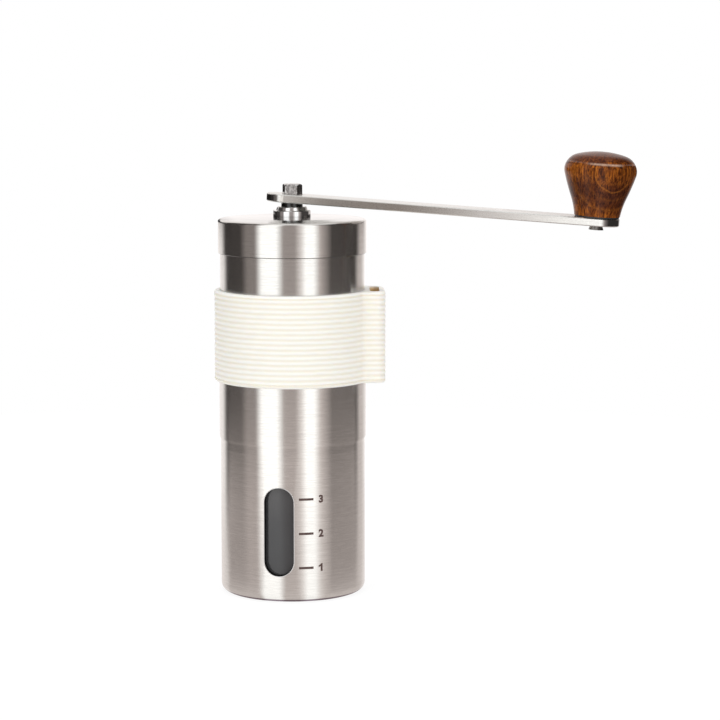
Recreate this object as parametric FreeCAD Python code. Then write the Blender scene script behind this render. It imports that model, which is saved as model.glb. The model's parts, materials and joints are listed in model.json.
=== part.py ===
"""Manual coffee grinder with a lift-off crank, a ribbed grip band and a windowed grounds cup.

Lengths are in millimetres. Z points up along the shaft, with Z = 0 at the underside of the
grounds cup. The crank points along +X. The window faces -Y, turned by window_azimuth. Each
sub-part is one STEP file.
"""
import FreeCAD
import Part

import math
import os

# Gap between pieces that stay fixed to each other
fixed_gap = 0.02

# Body tube and grounds cup
tube_od = 47.8
tube_wall = 0.4
cup_oversize = 0.1
cup_wall = 0.4
cup_floor = 0.5
cup_corner = 2.6
cup_inner_bevel = 1.5
cup_waist_z = 51.2
cup_waist = 0.06
cup_waist_height = 2.6
cup_shoulder_rise = 0.8
sleeve_gap = 0.06
sleeve_top_z = 88.0
tube_seat_gap = 0.05

# Window in the cup, turned a little from the crank's side
window_azimuth = -3.5
window_width = 10.0
window_height = 29.5
window_z = 23.4
gasket_thickness = 1.4
gasket_overhang = 0.25
gasket_border = 2.0
pane_thickness = 1.2
pane_border = 3.0

# Ribbed grip band with its loop for the crank
band_bottom_z = 70.7
band_height = 30.1
band_wall = 1.47
band_core_radius = 18.0
band_edge = 0.9
rib_count = 17
rib_depth = 0.42
band_tube_gap = 0.08
loop_azimuth = 7.5
loop_root_x = 14.0
loop_stand = 4.8
loop_half_depth = 11.5
loop_front_corner = 3.2
loop_back_corner = 5.8
loop_wall = 1.9
slot_width = 3.2
slot_length = 16.0
slot_corner = 1.5

# Lid with its chrome bush
lid_wall = 0.55
lid_gap = 0.09
lid_edge_z = 124.05
lid_skirt = 11.15
lid_hem = 0.2
lid_crown = 0.9
lid_flat_radius = 9.2
lid_corner = 0.9
lid_rim_gap = 0.08
bush_tier_radius = 6.25
bush_tier_height = 2.1
bush_collar_radius = 5.25
bush_collar_height = 1.15
bush_stem_radius = 4.5
bush_chamfer = 0.3
stem_length = 4.6
lid_hole_gap = 0.1
lid_nut_flats = 12.0
lid_nut_height = 2.5
lid_washer_radius = 8.5
lid_washer_thickness = 0.85
lid_washer_gap = 0.05

# Shaft
shaft_radius = 3.0
neck_radius = 3.55
neck_length = 10.0
neck_taper = 0.6
neck_running_gap = 0.08
head_rise = 3.5
head_round = 1.3
head_edge = 0.45
head_sides = 5
shaft_flat = 2.25
flats_rise = 2.55
thread_radius = 2.5
thread_drop = 0.2
thread_end = 1.7
clip_groove_radius = 2.5
clip_thickness = 0.6
clip_radius = 4.9
clip_mouth = 3.4
clip_play = 0.05
washer_bore_gap = 0.1

# Crank arm, tilted down by its play on the shaft's head
crank_radius = 100.3
crank_droop = 3.9
arm_width = 12.7
arm_thickness = 2.6
arm_rise = 1.38
arm_shaft_end = 8.4
arm_knob_end = 7.4
arm_edge = 0.3
arm_head_gap = 0.15
arm_shoulder_gap = 0.03

# Knob and its shoulder pin
knob_height = 20.85
knob_base_radius = 7.45
knob_foot_lean = 8.0
knob_waist_radius = 9.06
knob_waist_z = 6.0
knob_belly_radius = 11.6
knob_belly_z = 13.4
knob_rim_radius = 10.9
knob_rim_drop = 3.35
knob_crown_radius = 7.9
knob_crown_rise = 1.13
knob_crown_lean = 33.0
pin_radius = 1.8
pin_gap = 0.07
pin_play = 0.12
pin_foot_radius = 2.45
pin_foot_height = 1.35
pin_foot_edge = 0.2
pin_depth = 13.0
insert_radius = 2.9
insert_length = 12.0
washer_radius = 7.2
washer_thickness = 0.45
washer_play = 0.06

# Burr carrier
carrier_gap = 0.05
carrier_drop = 0.85
carrier_nose_height = 2.0
carrier_nose_gap = 1.0
funnel_rim = 0.9
funnel_rise = 1.5
throat_step = 0.2
hub_radius = 6.6
hub_height = 6.0
hub_arm_count = 3
hub_arm_width = 2.6
hub_arm_height = 5.5
hub_bush_radius = 4.5
hub_bush_flange = 6.0
hub_bush_flange_thickness = 0.6
shaft_running_gap = 0.06
thrust_washer_radius = 5.5
thrust_washer_thickness = 0.5

# Outer burr, its retaining ring and screws
outer_burr_wall = 3.45
outer_burr_gap = 0.1
outer_burr_height = 13.25
key_count = 3
key_width = 3.2
key_depth = 1.25
key_gap = 0.1
fine_tooth_count = 32
fine_tooth_depth = 0.8
coarse_tooth_count = 12
coarse_tooth_depth = 1.3
ring_mouth_lip = 4.85
retainer_thickness = 3.0
retainer_lip = 2.05
seal_width = 1.2
seal_height = 1.2
seal_wall_gap = 0.05
screw_edge = 2.0
screw_land = 1.55
screw_radius = 1.0
screw_length = 8.0
screw_head_radius = 1.9
screw_head_height = 1.2
screw_hole_gap = 0.1

# Inner burr, spring and drive plate
inner_burr_drop = 1.2
inner_burr_height = 16.0
spring_room = 7.0
fine_band_height = 6.0
fine_band_slope = 0.275
burr_clearance = 0.35
ridge_count = 6
ridge_depth = 2.4
ridge_top_radius = 7.0
ridge_height = 7.0
ridge_steps = 3
ridge_twist = 55.0
fine_twist = 14.0
burr_boss_radius = 6.8
spring_pocket_radius = 5.3
spring_pocket_depth = 1.8
spring_wire_radius = 0.45
spring_wire_sides = 5
spring_radius = 4.2
spring_turns = 3.0
spring_seat_gap = 0.05
spring_washer_thickness = 0.6
spring_washer_radius = 5.6
drive_radius = 9.0
drive_thickness = 2.65
drive_gap = 0.05
lug_width = 3.8
lug_inner = 5.1
lug_outer = 8.1
lug_height = 1.4
lug_gap = 0.1
detent_count = 8
detent_width = 0.9
detent_depth = 0.3
detent_inner = 5.4
detent_outer = 7.8

# Grind dial
dial_radius = 11.6
dial_height = 4.75
dial_gap = 0.35
dial_lobes = 8
dial_scallop = 2.6
nub_height = 0.2
nub_gap = 0.2
dial_insert_radius = 4.4
thread_gap = 0.05

# Sizes that follow from the ones above
tube_radius = tube_od / 2
tube_bore = tube_radius - tube_wall
cup_radius = tube_radius + cup_oversize
cup_bore = cup_radius - cup_wall
sleeve_bore = tube_radius + sleeve_gap
sleeve_radius = sleeve_bore + cup_wall
sleeve_bottom_z = cup_waist_z + cup_shoulder_rise
tube_bottom_z = sleeve_bottom_z + tube_seat_gap
band_crest_radius = sleeve_radius + fixed_gap + band_wall
loop_reach = band_crest_radius + loop_stand
gasket_radius = cup_bore - fixed_gap
pane_radius = gasket_radius - gasket_thickness - fixed_gap
lid_bore = tube_radius + lid_gap
lid_radius = lid_bore + lid_wall
lid_bottom_z = lid_edge_z - lid_skirt
lid_top_z = lid_edge_z + lid_crown
lid_ceiling_z = lid_top_z - lid_wall
tube_top_z = lid_edge_z - lid_wall - lid_rim_gap
lid_washer_z = lid_ceiling_z - lid_washer_gap - lid_washer_thickness
bush_top_z = lid_top_z + fixed_gap + bush_tier_height + bush_collar_height
arm_seat_z = bush_top_z + arm_rise
neck_bottom_z = arm_seat_z - neck_length
droop = math.radians(crank_droop)
shoulder_z = arm_seat_z - neck_radius * math.tan(droop) - arm_shoulder_gap
arm_centre_z = arm_seat_z + arm_thickness / 2
head_top_z = arm_seat_z + arm_thickness + head_rise
bush_bore = neck_radius + neck_running_gap
carrier_radius = tube_bore - carrier_gap
carrier_nose_radius = cup_bore - carrier_nose_gap
carrier_bottom_z = tube_bottom_z - carrier_drop
carrier_step_z = carrier_bottom_z + carrier_nose_height
inner_burr_bottom_z = carrier_bottom_z - inner_burr_drop
inner_burr_top_z = inner_burr_bottom_z + inner_burr_height
funnel_bottom_z = inner_burr_top_z + funnel_rise
hub_bottom_z = inner_burr_top_z + spring_room
carrier_top_z = hub_bottom_z + hub_height
screw_circle = carrier_nose_radius - screw_edge
outer_burr_radius = screw_circle - screw_land
inner_burr_radius = outer_burr_radius - outer_burr_wall - burr_clearance
ring_mouth_radius = outer_burr_radius - ring_mouth_lip
throat_radius = ring_mouth_radius + throat_step
retainer_bore = outer_burr_radius - retainer_lip
bush_shaft_bore = shaft_radius + shaft_running_gap
clip_z = carrier_top_z + hub_bush_flange_thickness + thrust_washer_thickness + 2 * clip_play
outer_burr_bottom_z = carrier_bottom_z + outer_burr_gap / 2
outer_burr_top_z = outer_burr_bottom_z + outer_burr_height
pocket_radius = outer_burr_radius + outer_burr_gap
retainer_top_z = carrier_bottom_z - fixed_gap
retainer_z = retainer_top_z - retainer_thickness
seal_z = retainer_top_z - seal_height / 2 - fixed_gap
fine_top_z = inner_burr_bottom_z + fine_band_height
fine_top_radius = inner_burr_radius - fine_band_height * fine_band_slope
spring_bottom_z = inner_burr_top_z - spring_pocket_depth + spring_seat_gap
spring_washer_z = hub_bottom_z - spring_washer_thickness - spring_seat_gap
spring_top_z = spring_washer_z - spring_seat_gap
drive_top_z = inner_burr_bottom_z - drive_gap
drive_bottom_z = drive_top_z - drive_thickness
knob_bottom = arm_thickness / 2 + washer_play + washer_thickness + fixed_gap
dial_top_z = drive_bottom_z - dial_gap
dial_bottom_z = dial_top_z - dial_height
flats_top_z = drive_top_z + flats_rise
thread_top_z = drive_bottom_z - thread_drop
shaft_bottom_z = dial_bottom_z - thread_end

UP = FreeCAD.Vector(0, 0, 1)
ORIGIN = FreeCAD.Vector(0, 0, 0)


def vec(x, y, z):
    return FreeCAD.Vector(x, y, z)


def rounded_wire(corners):
    """Closed wire through corner points, each given with its rounding radius."""
    count = len(corners)
    starts, arcs, ends = [], [], []
    for index in range(count):
        point, radius = corners[index]
        if radius == 0:
            starts.append(point)
            arcs.append(None)
            ends.append(point)
            continue
        back = (corners[index - 1][0] - point).normalize()
        ahead = (corners[(index + 1) % count][0] - point).normalize()
        half_angle = back.getAngle(ahead) / 2
        reach = radius / math.tan(half_angle)
        inward = (back + ahead).normalize()
        middle = point + inward * (radius / math.sin(half_angle) - radius)
        first = point + back * reach
        last = point + ahead * reach
        starts.append(first)
        arcs.append(Part.Arc(first, middle, last).toShape())
        ends.append(last)
    edges = []
    for index in range(count):
        if arcs[index] is not None:
            edges.append(arcs[index])
        following = starts[(index + 1) % count]
        if ends[index].distanceToPoint(following) > 1e-6:
            edges.append(Part.makeLine(ends[index], following))
    return Part.Wire(edges)


def profile_wire(corners):
    """Closed wire in the XZ plane through (radius, z) or (radius, z, rounding) corners."""
    full = []
    for corner in corners:
        rounding = corner[2] if len(corner) > 2 else 0
        full.append((vec(corner[0], 0, corner[1]), rounding))
    return rounded_wire(full)


def turned(corners):
    """Solid of revolution about Z of a closed profile."""
    return Part.Face(profile_wire(corners)).revolve(ORIGIN, UP, 360)


def ring(inner, outer, bottom, top):
    """Plain tube between two radii and two heights."""
    return turned([(inner, bottom), (outer, bottom), (outer, top), (inner, top)])


def cylinder(radius, bottom, top):
    return Part.makeCylinder(radius, top - bottom, vec(0, 0, bottom))


def block(x_range, y_range, z_range):
    size = [high - low for low, high in (x_range, y_range, z_range)]
    return Part.makeBox(size[0], size[1], size[2], vec(x_range[0], y_range[0], z_range[0]))


def prism(points, bottom, top, edge=0):
    """Upright prism over a closed polygon of (x, y) points, its upright edges rounded."""
    face = Part.Face(rounded_wire([(vec(x, y, bottom), edge) for x, y in points]))
    return face.extrude(vec(0, 0, top - bottom))


def regular(count, radius, first_degrees):
    """Corner points of a regular polygon."""
    angles = [math.radians(first_degrees + 360 * index / count) for index in range(count)]
    return [(radius * math.cos(angle), radius * math.sin(angle)) for angle in angles]


def around(shape, count, first_degrees=0):
    """Copies of a shape at even angles about Z."""
    copies = []
    for index in range(count):
        copy = shape.copy()
        copy.rotate(ORIGIN, UP, first_degrees + 360 * index / count)
        copies.append(copy)
    return copies


def joined(shapes):
    """One solid from touching or overlapping solids."""
    return shapes[0].multiFuse(shapes[1:]).removeSplitter()


def save(name, shape, solid_count=1):
    """Write one sub-part and stop if it isn't the solids it should be."""
    solids = shape.Solids
    if len(solids) != solid_count:
        raise ValueError("%s has %d solids, not %d" % (name, len(solids), solid_count))
    whole = solids[0] if solid_count == 1 else Part.makeCompound(solids)
    if not whole.isValid() or min(solid.Volume for solid in solids) <= 0:
        raise ValueError("%s isn't a valid solid" % name)
    whole.exportStep(os.path.join("parts", name + ".step"))
    print("%-18s %10.1f mm3" % (name, whole.Volume))


def upright_obround(width, height):
    """Obround opening through the window's side, centred on the window's height."""
    half = width / 2
    straight = height / 2 - half
    corners = [
        (vec(-half, 0, window_z - straight - half), half),
        (vec(half, 0, window_z - straight - half), half),
        (vec(half, 0, window_z + straight + half), half),
        (vec(-half, 0, window_z + straight + half), half),
    ]
    face = Part.Face(rounded_wire(corners))
    opening = face.extrude(vec(0, -2 * cup_radius, 0))
    opening.rotate(ORIGIN, UP, window_azimuth)
    return opening


def cup_profile():
    """Half section of the drawn cup: floor, wall, slight waist and the wider sleeve above it."""
    return [
        (0, 0),
        (cup_radius, 0, cup_corner),
        (cup_radius, cup_waist_z - cup_waist_height),
        (cup_radius - cup_waist, cup_waist_z),
        (sleeve_radius, sleeve_bottom_z),
        (sleeve_radius, sleeve_top_z),
        (sleeve_bore, sleeve_top_z),
        (sleeve_bore, sleeve_bottom_z),
        (cup_bore, cup_waist_z),
        (cup_bore, cup_floor + cup_inner_bevel),
        (cup_bore - cup_inner_bevel, cup_floor),
        (0, cup_floor),
    ]


def grounds_cup():
    """Drawn steel cup with an expanded sleeve that slips over the body tube."""
    return turned(cup_profile()).cut(upright_obround(window_width, window_height))


def window_gasket():
    """Rubber frame between the cup's wall and the pane."""
    wall = ring(gasket_radius - gasket_thickness, gasket_radius, 0, cup_waist_z)
    outer = upright_obround(window_width + 2 * gasket_border, window_height + 2 * gasket_border)
    inner = upright_obround(window_width - 2 * gasket_overhang, window_height - 2 * gasket_overhang)
    return wall.common(outer.cut(inner))


def window_pane():
    """Curved smoky pane behind the gasket."""
    wall = ring(pane_radius - pane_thickness, pane_radius, 0, cup_waist_z)
    width = window_width + 2 * pane_border
    return wall.common(upright_obround(width, window_height + 2 * pane_border))


def rib_profile(outer_line):
    """Corners of the ribbed outer edge, from the bottom up, as (distance out, z)."""
    pitch = (band_height - 2 * band_edge) / rib_count
    corners = [(outer_line - band_edge, band_bottom_z)]
    for index in range(rib_count):
        valley_z = band_bottom_z + band_edge + index * pitch
        corners += [(outer_line - rib_depth, valley_z), (outer_line, valley_z + pitch / 2)]
    band_top_z = band_bottom_z + band_height
    corners += [(outer_line - rib_depth, band_top_z - band_edge), (outer_line - band_edge, band_top_z)]
    return corners


def ribbed_face(inner_line, outer_line):
    """Flat section in the XZ plane between a plain inner line and the ribbed outer edge."""
    corners = rib_profile(outer_line)
    corners += [(inner_line, corners[-1][1]), (inner_line, corners[0][1])]
    return Part.Face(profile_wire(corners))


def loop_block():
    """Ribbed block with two rounded corners that holds the crank's slot, along +X."""
    z_range = (band_bottom_z, band_bottom_z + band_height)
    pieces = []
    for side, radius in ((-1, loop_front_corner), (1, loop_back_corner)):
        centre = vec(loop_reach - radius, side * (loop_half_depth - radius), 0)
        section = ribbed_face(0, radius)
        outer = section.copy()
        outer.translate(centre)
        pieces.append(outer.extrude(vec(0, -centre.y, 0)))
        corner = section.copy()
        corner.rotate(ORIGIN, UP, 90 * min(side, 0))
        turned_corner = corner.revolve(ORIGIN, UP, 90)
        turned_corner.translate(centre)
        pieces.append(turned_corner)
        flank = section.copy()
        flank.rotate(ORIGIN, UP, 90 * side)
        flank.translate(centre)
        pieces.append(flank.extrude(vec(loop_root_x - centre.x, 0, 0)))
        pieces.append(block((loop_root_x, centre.x), sorted((0, centre.y)), z_range))
    return joined(pieces)


def grip_band():
    """Soft ribbed band with a loop at one side whose slot takes the crank's arm."""
    body = ribbed_face(band_core_radius, band_crest_radius).revolve(ORIGIN, UP, 360)
    band = joined([body, loop_block()])
    below = band_bottom_z - 1
    above = band_bottom_z + band_height + 1
    band = band.cut(cylinder(sleeve_radius + fixed_gap, below, sleeve_top_z + band_edge))
    band = band.cut(cylinder(tube_radius + band_tube_gap, below, above))
    slot_outer = loop_reach - loop_wall
    slot_inner = slot_outer - slot_width
    corners = []
    for x, y in ((slot_inner, -1), (slot_outer, -1), (slot_outer, 1), (slot_inner, 1)):
        corners.append((vec(x, y * slot_length / 2, below), slot_corner))
    slot = Part.Face(rounded_wire(corners)).extrude(vec(0, 0, above - below))
    band = band.cut(slot)
    band.rotate(ORIGIN, UP, loop_azimuth)
    return band


def body_tube():
    """Straight steel tube that is the hopper's wall and carries the burrs at its lower end."""
    return ring(tube_bore, tube_radius, tube_bottom_z, tube_top_z)


def crown_drop(radius):
    """How far the lid's crowned top lies under its flat middle at a radius."""
    share = (radius - lid_flat_radius) / (lid_radius - lid_flat_radius)
    return lid_crown * share * share


def lid_shell():
    """Drawn steel cap: flat middle with a hole for the bush, falling gently to a round edge."""
    hole = bush_stem_radius + lid_hole_gap
    slope_radius = (lid_flat_radius + lid_radius) / 2
    slope_drop = crown_drop(slope_radius)
    return turned([
        (lid_bore, lid_bottom_z),
        (lid_radius - lid_hem, lid_bottom_z),
        (lid_radius, lid_bottom_z + lid_hem),
        (lid_radius, lid_edge_z, lid_corner),
        (slope_radius, lid_top_z - slope_drop),
        (lid_flat_radius, lid_top_z),
        (hole, lid_top_z),
        (hole, lid_ceiling_z),
        (lid_flat_radius, lid_ceiling_z),
        (lid_bore, lid_edge_z - lid_wall),
    ])


def profile_edges(points):
    """Straight edges in the XZ plane through (radius, z) points."""
    edges = []
    for index in range(len(points) - 1):
        (r1, z1), (r2, z2) = points[index], points[index + 1]
        edges.append(Part.makeLine(vec(r1, 0, z1), vec(r2, 0, z2)))
    return edges


def lid_bush():
    """Stepped bush that guides the shaft's neck, with a stem through the lid."""
    bottom = lid_top_z + fixed_gap
    tier_top = bottom + bush_tier_height
    top = bush_top_z
    return turned([
        (bush_bore, bottom - stem_length),
        (bush_stem_radius, bottom - stem_length),
        (bush_stem_radius, bottom),
        (bush_tier_radius, bottom),
        (bush_tier_radius, tier_top - bush_chamfer),
        (bush_tier_radius - bush_chamfer, tier_top),
        (bush_collar_radius, tier_top),
        (bush_collar_radius - bush_chamfer, top - bush_chamfer),
        (bush_collar_radius - 2 * bush_chamfer, top),
        (bush_bore, top),
    ])


def lid_washer():
    """Plain washer between the lid's underside and the nut."""
    inner = bush_stem_radius + lid_hole_gap
    return ring(inner, lid_washer_radius, lid_washer_z, lid_washer_z + lid_washer_thickness)


def lid_nut():
    """Thin hexagon nut on the bush's stem."""
    top = lid_washer_z - lid_washer_gap
    bottom = top - lid_nut_height
    nut = prism(regular(6, lid_nut_flats / 2 / math.cos(math.pi / 6), 0), bottom, top)
    return nut.cut(cylinder(bush_stem_radius + fixed_gap, bottom - 1, top + 1))


def shaft():
    """Long steel shaft: threaded foot with two flats, clip groove, round neck and five-sided head."""
    body = turned([
        (0, shaft_bottom_z),
        (thread_radius, shaft_bottom_z),
        (thread_radius, thread_top_z),
        (shaft_radius, thread_top_z),
        (shaft_radius, clip_z - clip_play),
        (clip_groove_radius, clip_z - clip_play),
        (clip_groove_radius, clip_z + clip_thickness + clip_play),
        (shaft_radius, clip_z + clip_thickness + clip_play),
        (shaft_radius, neck_bottom_z - neck_taper),
        (neck_radius, neck_bottom_z),
        (neck_radius, shoulder_z),
        (0, shoulder_z),
    ])
    wide = 2 * shaft_radius
    for side in (-1, 1):
        y_range = sorted((side * shaft_flat, side * wide))
        body = body.cut(block((-wide, wide), y_range, (shaft_bottom_z - 1, flats_top_z)))
    head = prism(regular(head_sides, neck_radius, 90), shoulder_z, head_top_z, head_edge)
    cap = turned([
        (0, shoulder_z),
        (neck_radius, shoulder_z),
        (neck_radius, head_top_z, head_round),
        (0, head_top_z),
    ])
    return joined([body, head.common(cap)])


def thrust_washer():
    """Thin washer between the hub's bearing and the clip."""
    bottom = carrier_top_z + hub_bush_flange_thickness + clip_play
    top = bottom + thrust_washer_thickness
    return ring(shaft_radius + washer_bore_gap, thrust_washer_radius, bottom, top)


def shaft_clip():
    """Open ring that snaps into the shaft's groove and stops it from dropping out."""
    top = clip_z + clip_thickness
    clip = ring(clip_groove_radius + fixed_gap, clip_radius, clip_z, top)
    mouth = block((0, 2 * clip_radius), (-clip_mouth / 2, clip_mouth / 2), (clip_z - 1, top + 1))
    return clip.cut(mouth)


def arc_chain(points, along):
    """Tangent arcs through points, leaving the first one in the given direction."""
    edges = []
    for start, end in zip(points, points[1:]):
        edges.append(arc_from(start, along, end))
        chord = (end - start).normalize()
        along = chord * (2 * along.dot(chord)) - along
    return edges


def arc_from(start, along, end):
    """Arc that leaves a point in a direction and ends at another point."""
    chord = end - start
    length = chord.Length
    toward = vec(chord.x, chord.y, chord.z).normalize()
    lean = along.dot(toward)
    bulge = (along - toward * lean).normalize()
    sagitta = length / 2 * math.tan(math.acos(min(1, lean)) / 2)
    return Part.Arc(start, (start + end) * 0.5 + bulge * sagitta, end).toShape()


def on_crank(shape):
    """Place a shape made flat about the crank's own origin where the drooping crank lies."""
    shape.rotate(ORIGIN, vec(0, 1, 0), crank_droop)
    shape.translate(vec(0, 0, arm_centre_z))
    return shape


def crank_arm():
    """Flat steel bar with rounded ends, a five-sided hole and a round one."""
    half = arm_width / 2
    x_low = -arm_shaft_end + half
    x_high = crank_radius + arm_knob_end - half
    z_low = -arm_thickness / 2
    corners = [
        (vec(x_low - half, -half, z_low), half),
        (vec(x_high + half, -half, z_low), half),
        (vec(x_high + half, half, z_low), half),
        (vec(x_low - half, half, z_low), half),
    ]
    bar = Part.Face(rounded_wire(corners)).extrude(vec(0, 0, arm_thickness))
    rims = [edge for edge in bar.Edges if edge.BoundBox.ZLength < arm_thickness / 2]
    bar = bar.makeChamfer(arm_edge, rims)
    hole_corner = neck_radius + arm_head_gap / math.cos(math.pi / head_sides)
    bar = bar.cut(prism(regular(head_sides, hole_corner, 90), -arm_thickness, arm_thickness))
    pin_hole = cylinder(pin_radius + pin_gap, -arm_thickness, arm_thickness)
    pin_hole.translate(vec(crank_radius, 0, 0))
    return on_crank(bar.cut(pin_hole))


def knob():
    """Turned wooden knob: slim foot, flared side, a soft ridge under the shoulder and a low dome."""
    knob_top = knob_bottom + knob_height
    rim = vec(knob_rim_radius, 0, knob_top - knob_rim_drop)
    crown = vec(knob_crown_radius, 0, knob_top - knob_crown_rise)
    lean = math.radians(knob_foot_lean)
    side = arc_chain([
        vec(knob_base_radius, 0, knob_bottom),
        vec(knob_waist_radius, 0, knob_bottom + knob_waist_z),
        vec(knob_belly_radius, 0, knob_bottom + knob_belly_z),
        rim,
    ], vec(math.sin(lean), 0, math.cos(lean)))
    lean = math.radians(knob_crown_lean)
    shoulder = arc_from(rim, vec(-math.sin(lean), 0, math.cos(lean)), crown)
    sphere = (knob_crown_radius ** 2 + knob_crown_rise ** 2) / (2 * knob_crown_rise)
    half_way = knob_crown_radius / 2
    half_z = knob_top - sphere + math.sqrt(sphere ** 2 - half_way ** 2)
    dome = Part.Arc(crown, vec(half_way, 0, half_z), vec(0, 0, knob_top))
    bore = insert_radius + fixed_gap
    roof = knob_bottom + insert_length + fixed_gap
    inside = profile_edges([
        (0, knob_top),
        (0, roof),
        (bore, roof),
        (bore, knob_bottom),
        (knob_base_radius, knob_bottom),
    ])
    wire = Part.Wire(Part.__sortEdges__(inside + side + [shoulder, dome.toShape()]))
    solid = Part.Face(wire).revolve(ORIGIN, UP, 360)
    solid.translate(vec(crank_radius, 0, 0))
    return on_crank(solid)


def knob_insert():
    """Threaded sleeve set in the knob's foot."""
    top = knob_bottom + insert_length
    solid = ring(pin_radius + fixed_gap, insert_radius, knob_bottom, top)
    solid.translate(vec(crank_radius, 0, 0))
    return on_crank(solid)


def knob_pin():
    """Pin on which the knob turns, with a flared foot under the arm."""
    foot_top = -arm_thickness / 2 - pin_play
    foot_bottom = foot_top - pin_foot_height
    solid = turned([
        (0, foot_bottom),
        (pin_foot_radius, foot_bottom),
        (pin_radius + pin_foot_edge, foot_top),
        (pin_radius, foot_top),
        (pin_radius, foot_top + pin_depth),
        (0, foot_top + pin_depth),
    ])
    solid.translate(vec(crank_radius, 0, 0))
    return on_crank(solid)


def knob_washer():
    """Dark washer between the arm and the knob."""
    bottom = arm_thickness / 2 + washer_play
    solid = ring(pin_radius + fixed_gap, washer_radius, bottom, bottom + washer_thickness)
    solid.translate(vec(crank_radius, 0, 0))
    return on_crank(solid)


def burr_carrier():
    """Moulded carrier in the tube: funnel, three-armed hub and the outer burr's pocket."""
    funnel_top = carrier_radius - funnel_rim
    body = turned([
        (pocket_radius, carrier_bottom_z),
        (carrier_nose_radius, carrier_bottom_z),
        (carrier_nose_radius, carrier_step_z),
        (carrier_radius, carrier_step_z),
        (carrier_radius, carrier_top_z),
        (funnel_top, carrier_top_z),
        (throat_radius, funnel_bottom_z),
        (throat_radius, outer_burr_top_z + outer_burr_gap / 2),
        (pocket_radius, outer_burr_top_z + outer_burr_gap / 2),
    ])
    hub = cylinder(hub_radius, hub_bottom_z, carrier_top_z)
    arm_z = (carrier_top_z - hub_arm_height, carrier_top_z)
    arm = block((0, carrier_radius - funnel_rim / 2), (-hub_arm_width / 2, hub_arm_width / 2), arm_z)
    keys = block(
        (pocket_radius - key_depth, pocket_radius + 1),
        (-key_width / 2, key_width / 2),
        (carrier_bottom_z, outer_burr_top_z + outer_burr_gap),
    )
    carrier = joined([body, hub] + around(arm, hub_arm_count, 90) + around(keys, key_count, 30))
    carrier = carrier.cut(cylinder(hub_bush_radius + fixed_gap, hub_bottom_z - 1, carrier_top_z + 1))
    screw_hole = cylinder(screw_radius + fixed_gap, carrier_bottom_z - 1, retainer_z + screw_length + 1)
    screw_hole.translate(vec(screw_circle, 0, 0))
    for hole in around(screw_hole, key_count, 90):
        carrier = carrier.cut(hole)
    return carrier


def hub_bush():
    """Flanged plain bearing for the shaft in the carrier's hub."""
    flange_bottom = carrier_top_z + fixed_gap
    return turned([
        (bush_shaft_bore, hub_bottom_z),
        (hub_bush_radius, hub_bottom_z),
        (hub_bush_radius, flange_bottom),
        (hub_bush_flange, flange_bottom),
        (hub_bush_flange, carrier_top_z + hub_bush_flange_thickness),
        (bush_shaft_bore, carrier_top_z + hub_bush_flange_thickness),
    ])


def tooth_points(count, tip, valley, z, turn):
    """Saw-toothed outline: each tooth rises along a ramp and drops back steeply."""
    points = []
    for index in range(count):
        start = turn + 360 * index / count
        for radius, share in ((tip, 0.0), (valley, 0.2)):
            angle = math.radians(start + share * 360 / count)
            points.append(vec(radius * math.cos(angle), radius * math.sin(angle), z))
    return points


def flat_face(points):
    return Part.Face(Part.makePolygon(points + points[:1]))


def toothed(count, sections):
    """Flat-sided solid through saw-toothed outlines, each given as (z, tip, valley, turn)."""
    outlines = [tooth_points(count, tip, valley, z, turn) for z, tip, valley, turn in sections]
    faces = [flat_face(outlines[0]), flat_face(outlines[-1])]
    for lower, upper in zip(outlines, outlines[1:]):
        for index in range(len(lower)):
            after = (index + 1) % len(lower)
            faces.append(flat_face([lower[index], lower[after], upper[index]]))
            faces.append(flat_face([lower[after], upper[after], upper[index]]))
    shell = Part.Shell(faces)
    shell.sewShape()
    solid = Part.Solid(shell)
    if solid.Volume < 0:
        solid.reverse()
    return solid


def outer_burr():
    """Ceramic ring with coarse teeth in its mouth, fine teeth below and three keyways."""
    body = cylinder(outer_burr_radius, outer_burr_bottom_z, outer_burr_top_z)
    depth = key_depth + key_gap
    keyway = block(
        (outer_burr_radius - depth, outer_burr_radius + 1),
        (-key_width / 2 - key_gap, key_width / 2 + key_gap),
        (outer_burr_bottom_z - 1, outer_burr_top_z + 1),
    )
    for cutter in around(keyway, key_count, 30):
        body = body.cut(cutter)
    bottom_radius = inner_burr_radius + burr_clearance
    low_z = inner_burr_bottom_z
    fine_tip = bottom_radius - fine_band_height * fine_band_slope
    fine = toothed(fine_tooth_count, [
        (low_z, bottom_radius + fine_tooth_depth, bottom_radius, 0),
        (fine_top_z, fine_tip + fine_tooth_depth, fine_tip, fine_twist),
    ])
    coarse = toothed(coarse_tooth_count, [
        (fine_top_z, fine_tip + coarse_tooth_depth, fine_tip, 0),
        (outer_burr_top_z + 1, ring_mouth_radius + coarse_tooth_depth, ring_mouth_radius, -15),
    ])
    return body.cut(fine).cut(coarse)


def seal_ring(extra):
    """Flat-sided ring that rubs on the cup's wall, larger all round by an extra amount."""
    outer = cup_bore - seal_wall_gap + extra
    inner = cup_bore - seal_wall_gap - seal_width - extra
    reach = seal_height / 2 + extra
    return ring(inner, outer, seal_z - reach, seal_z + reach)


def burr_retainer():
    """Ring under the outer burr, with a rebate for the seal and three screw holes."""
    plate = ring(retainer_bore, carrier_nose_radius, retainer_z, retainer_top_z)
    plate = plate.cut(seal_ring(fixed_gap))
    hole = cylinder(screw_radius + screw_hole_gap, retainer_z - 1, retainer_top_z + 1)
    hole.translate(vec(screw_circle, 0, 0))
    for cutter in around(hole, key_count, 90):
        plate = plate.cut(cutter)
    return plate


def cup_seal():
    """Soft ring that holds the cup on by friction."""
    return seal_ring(0)


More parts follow.
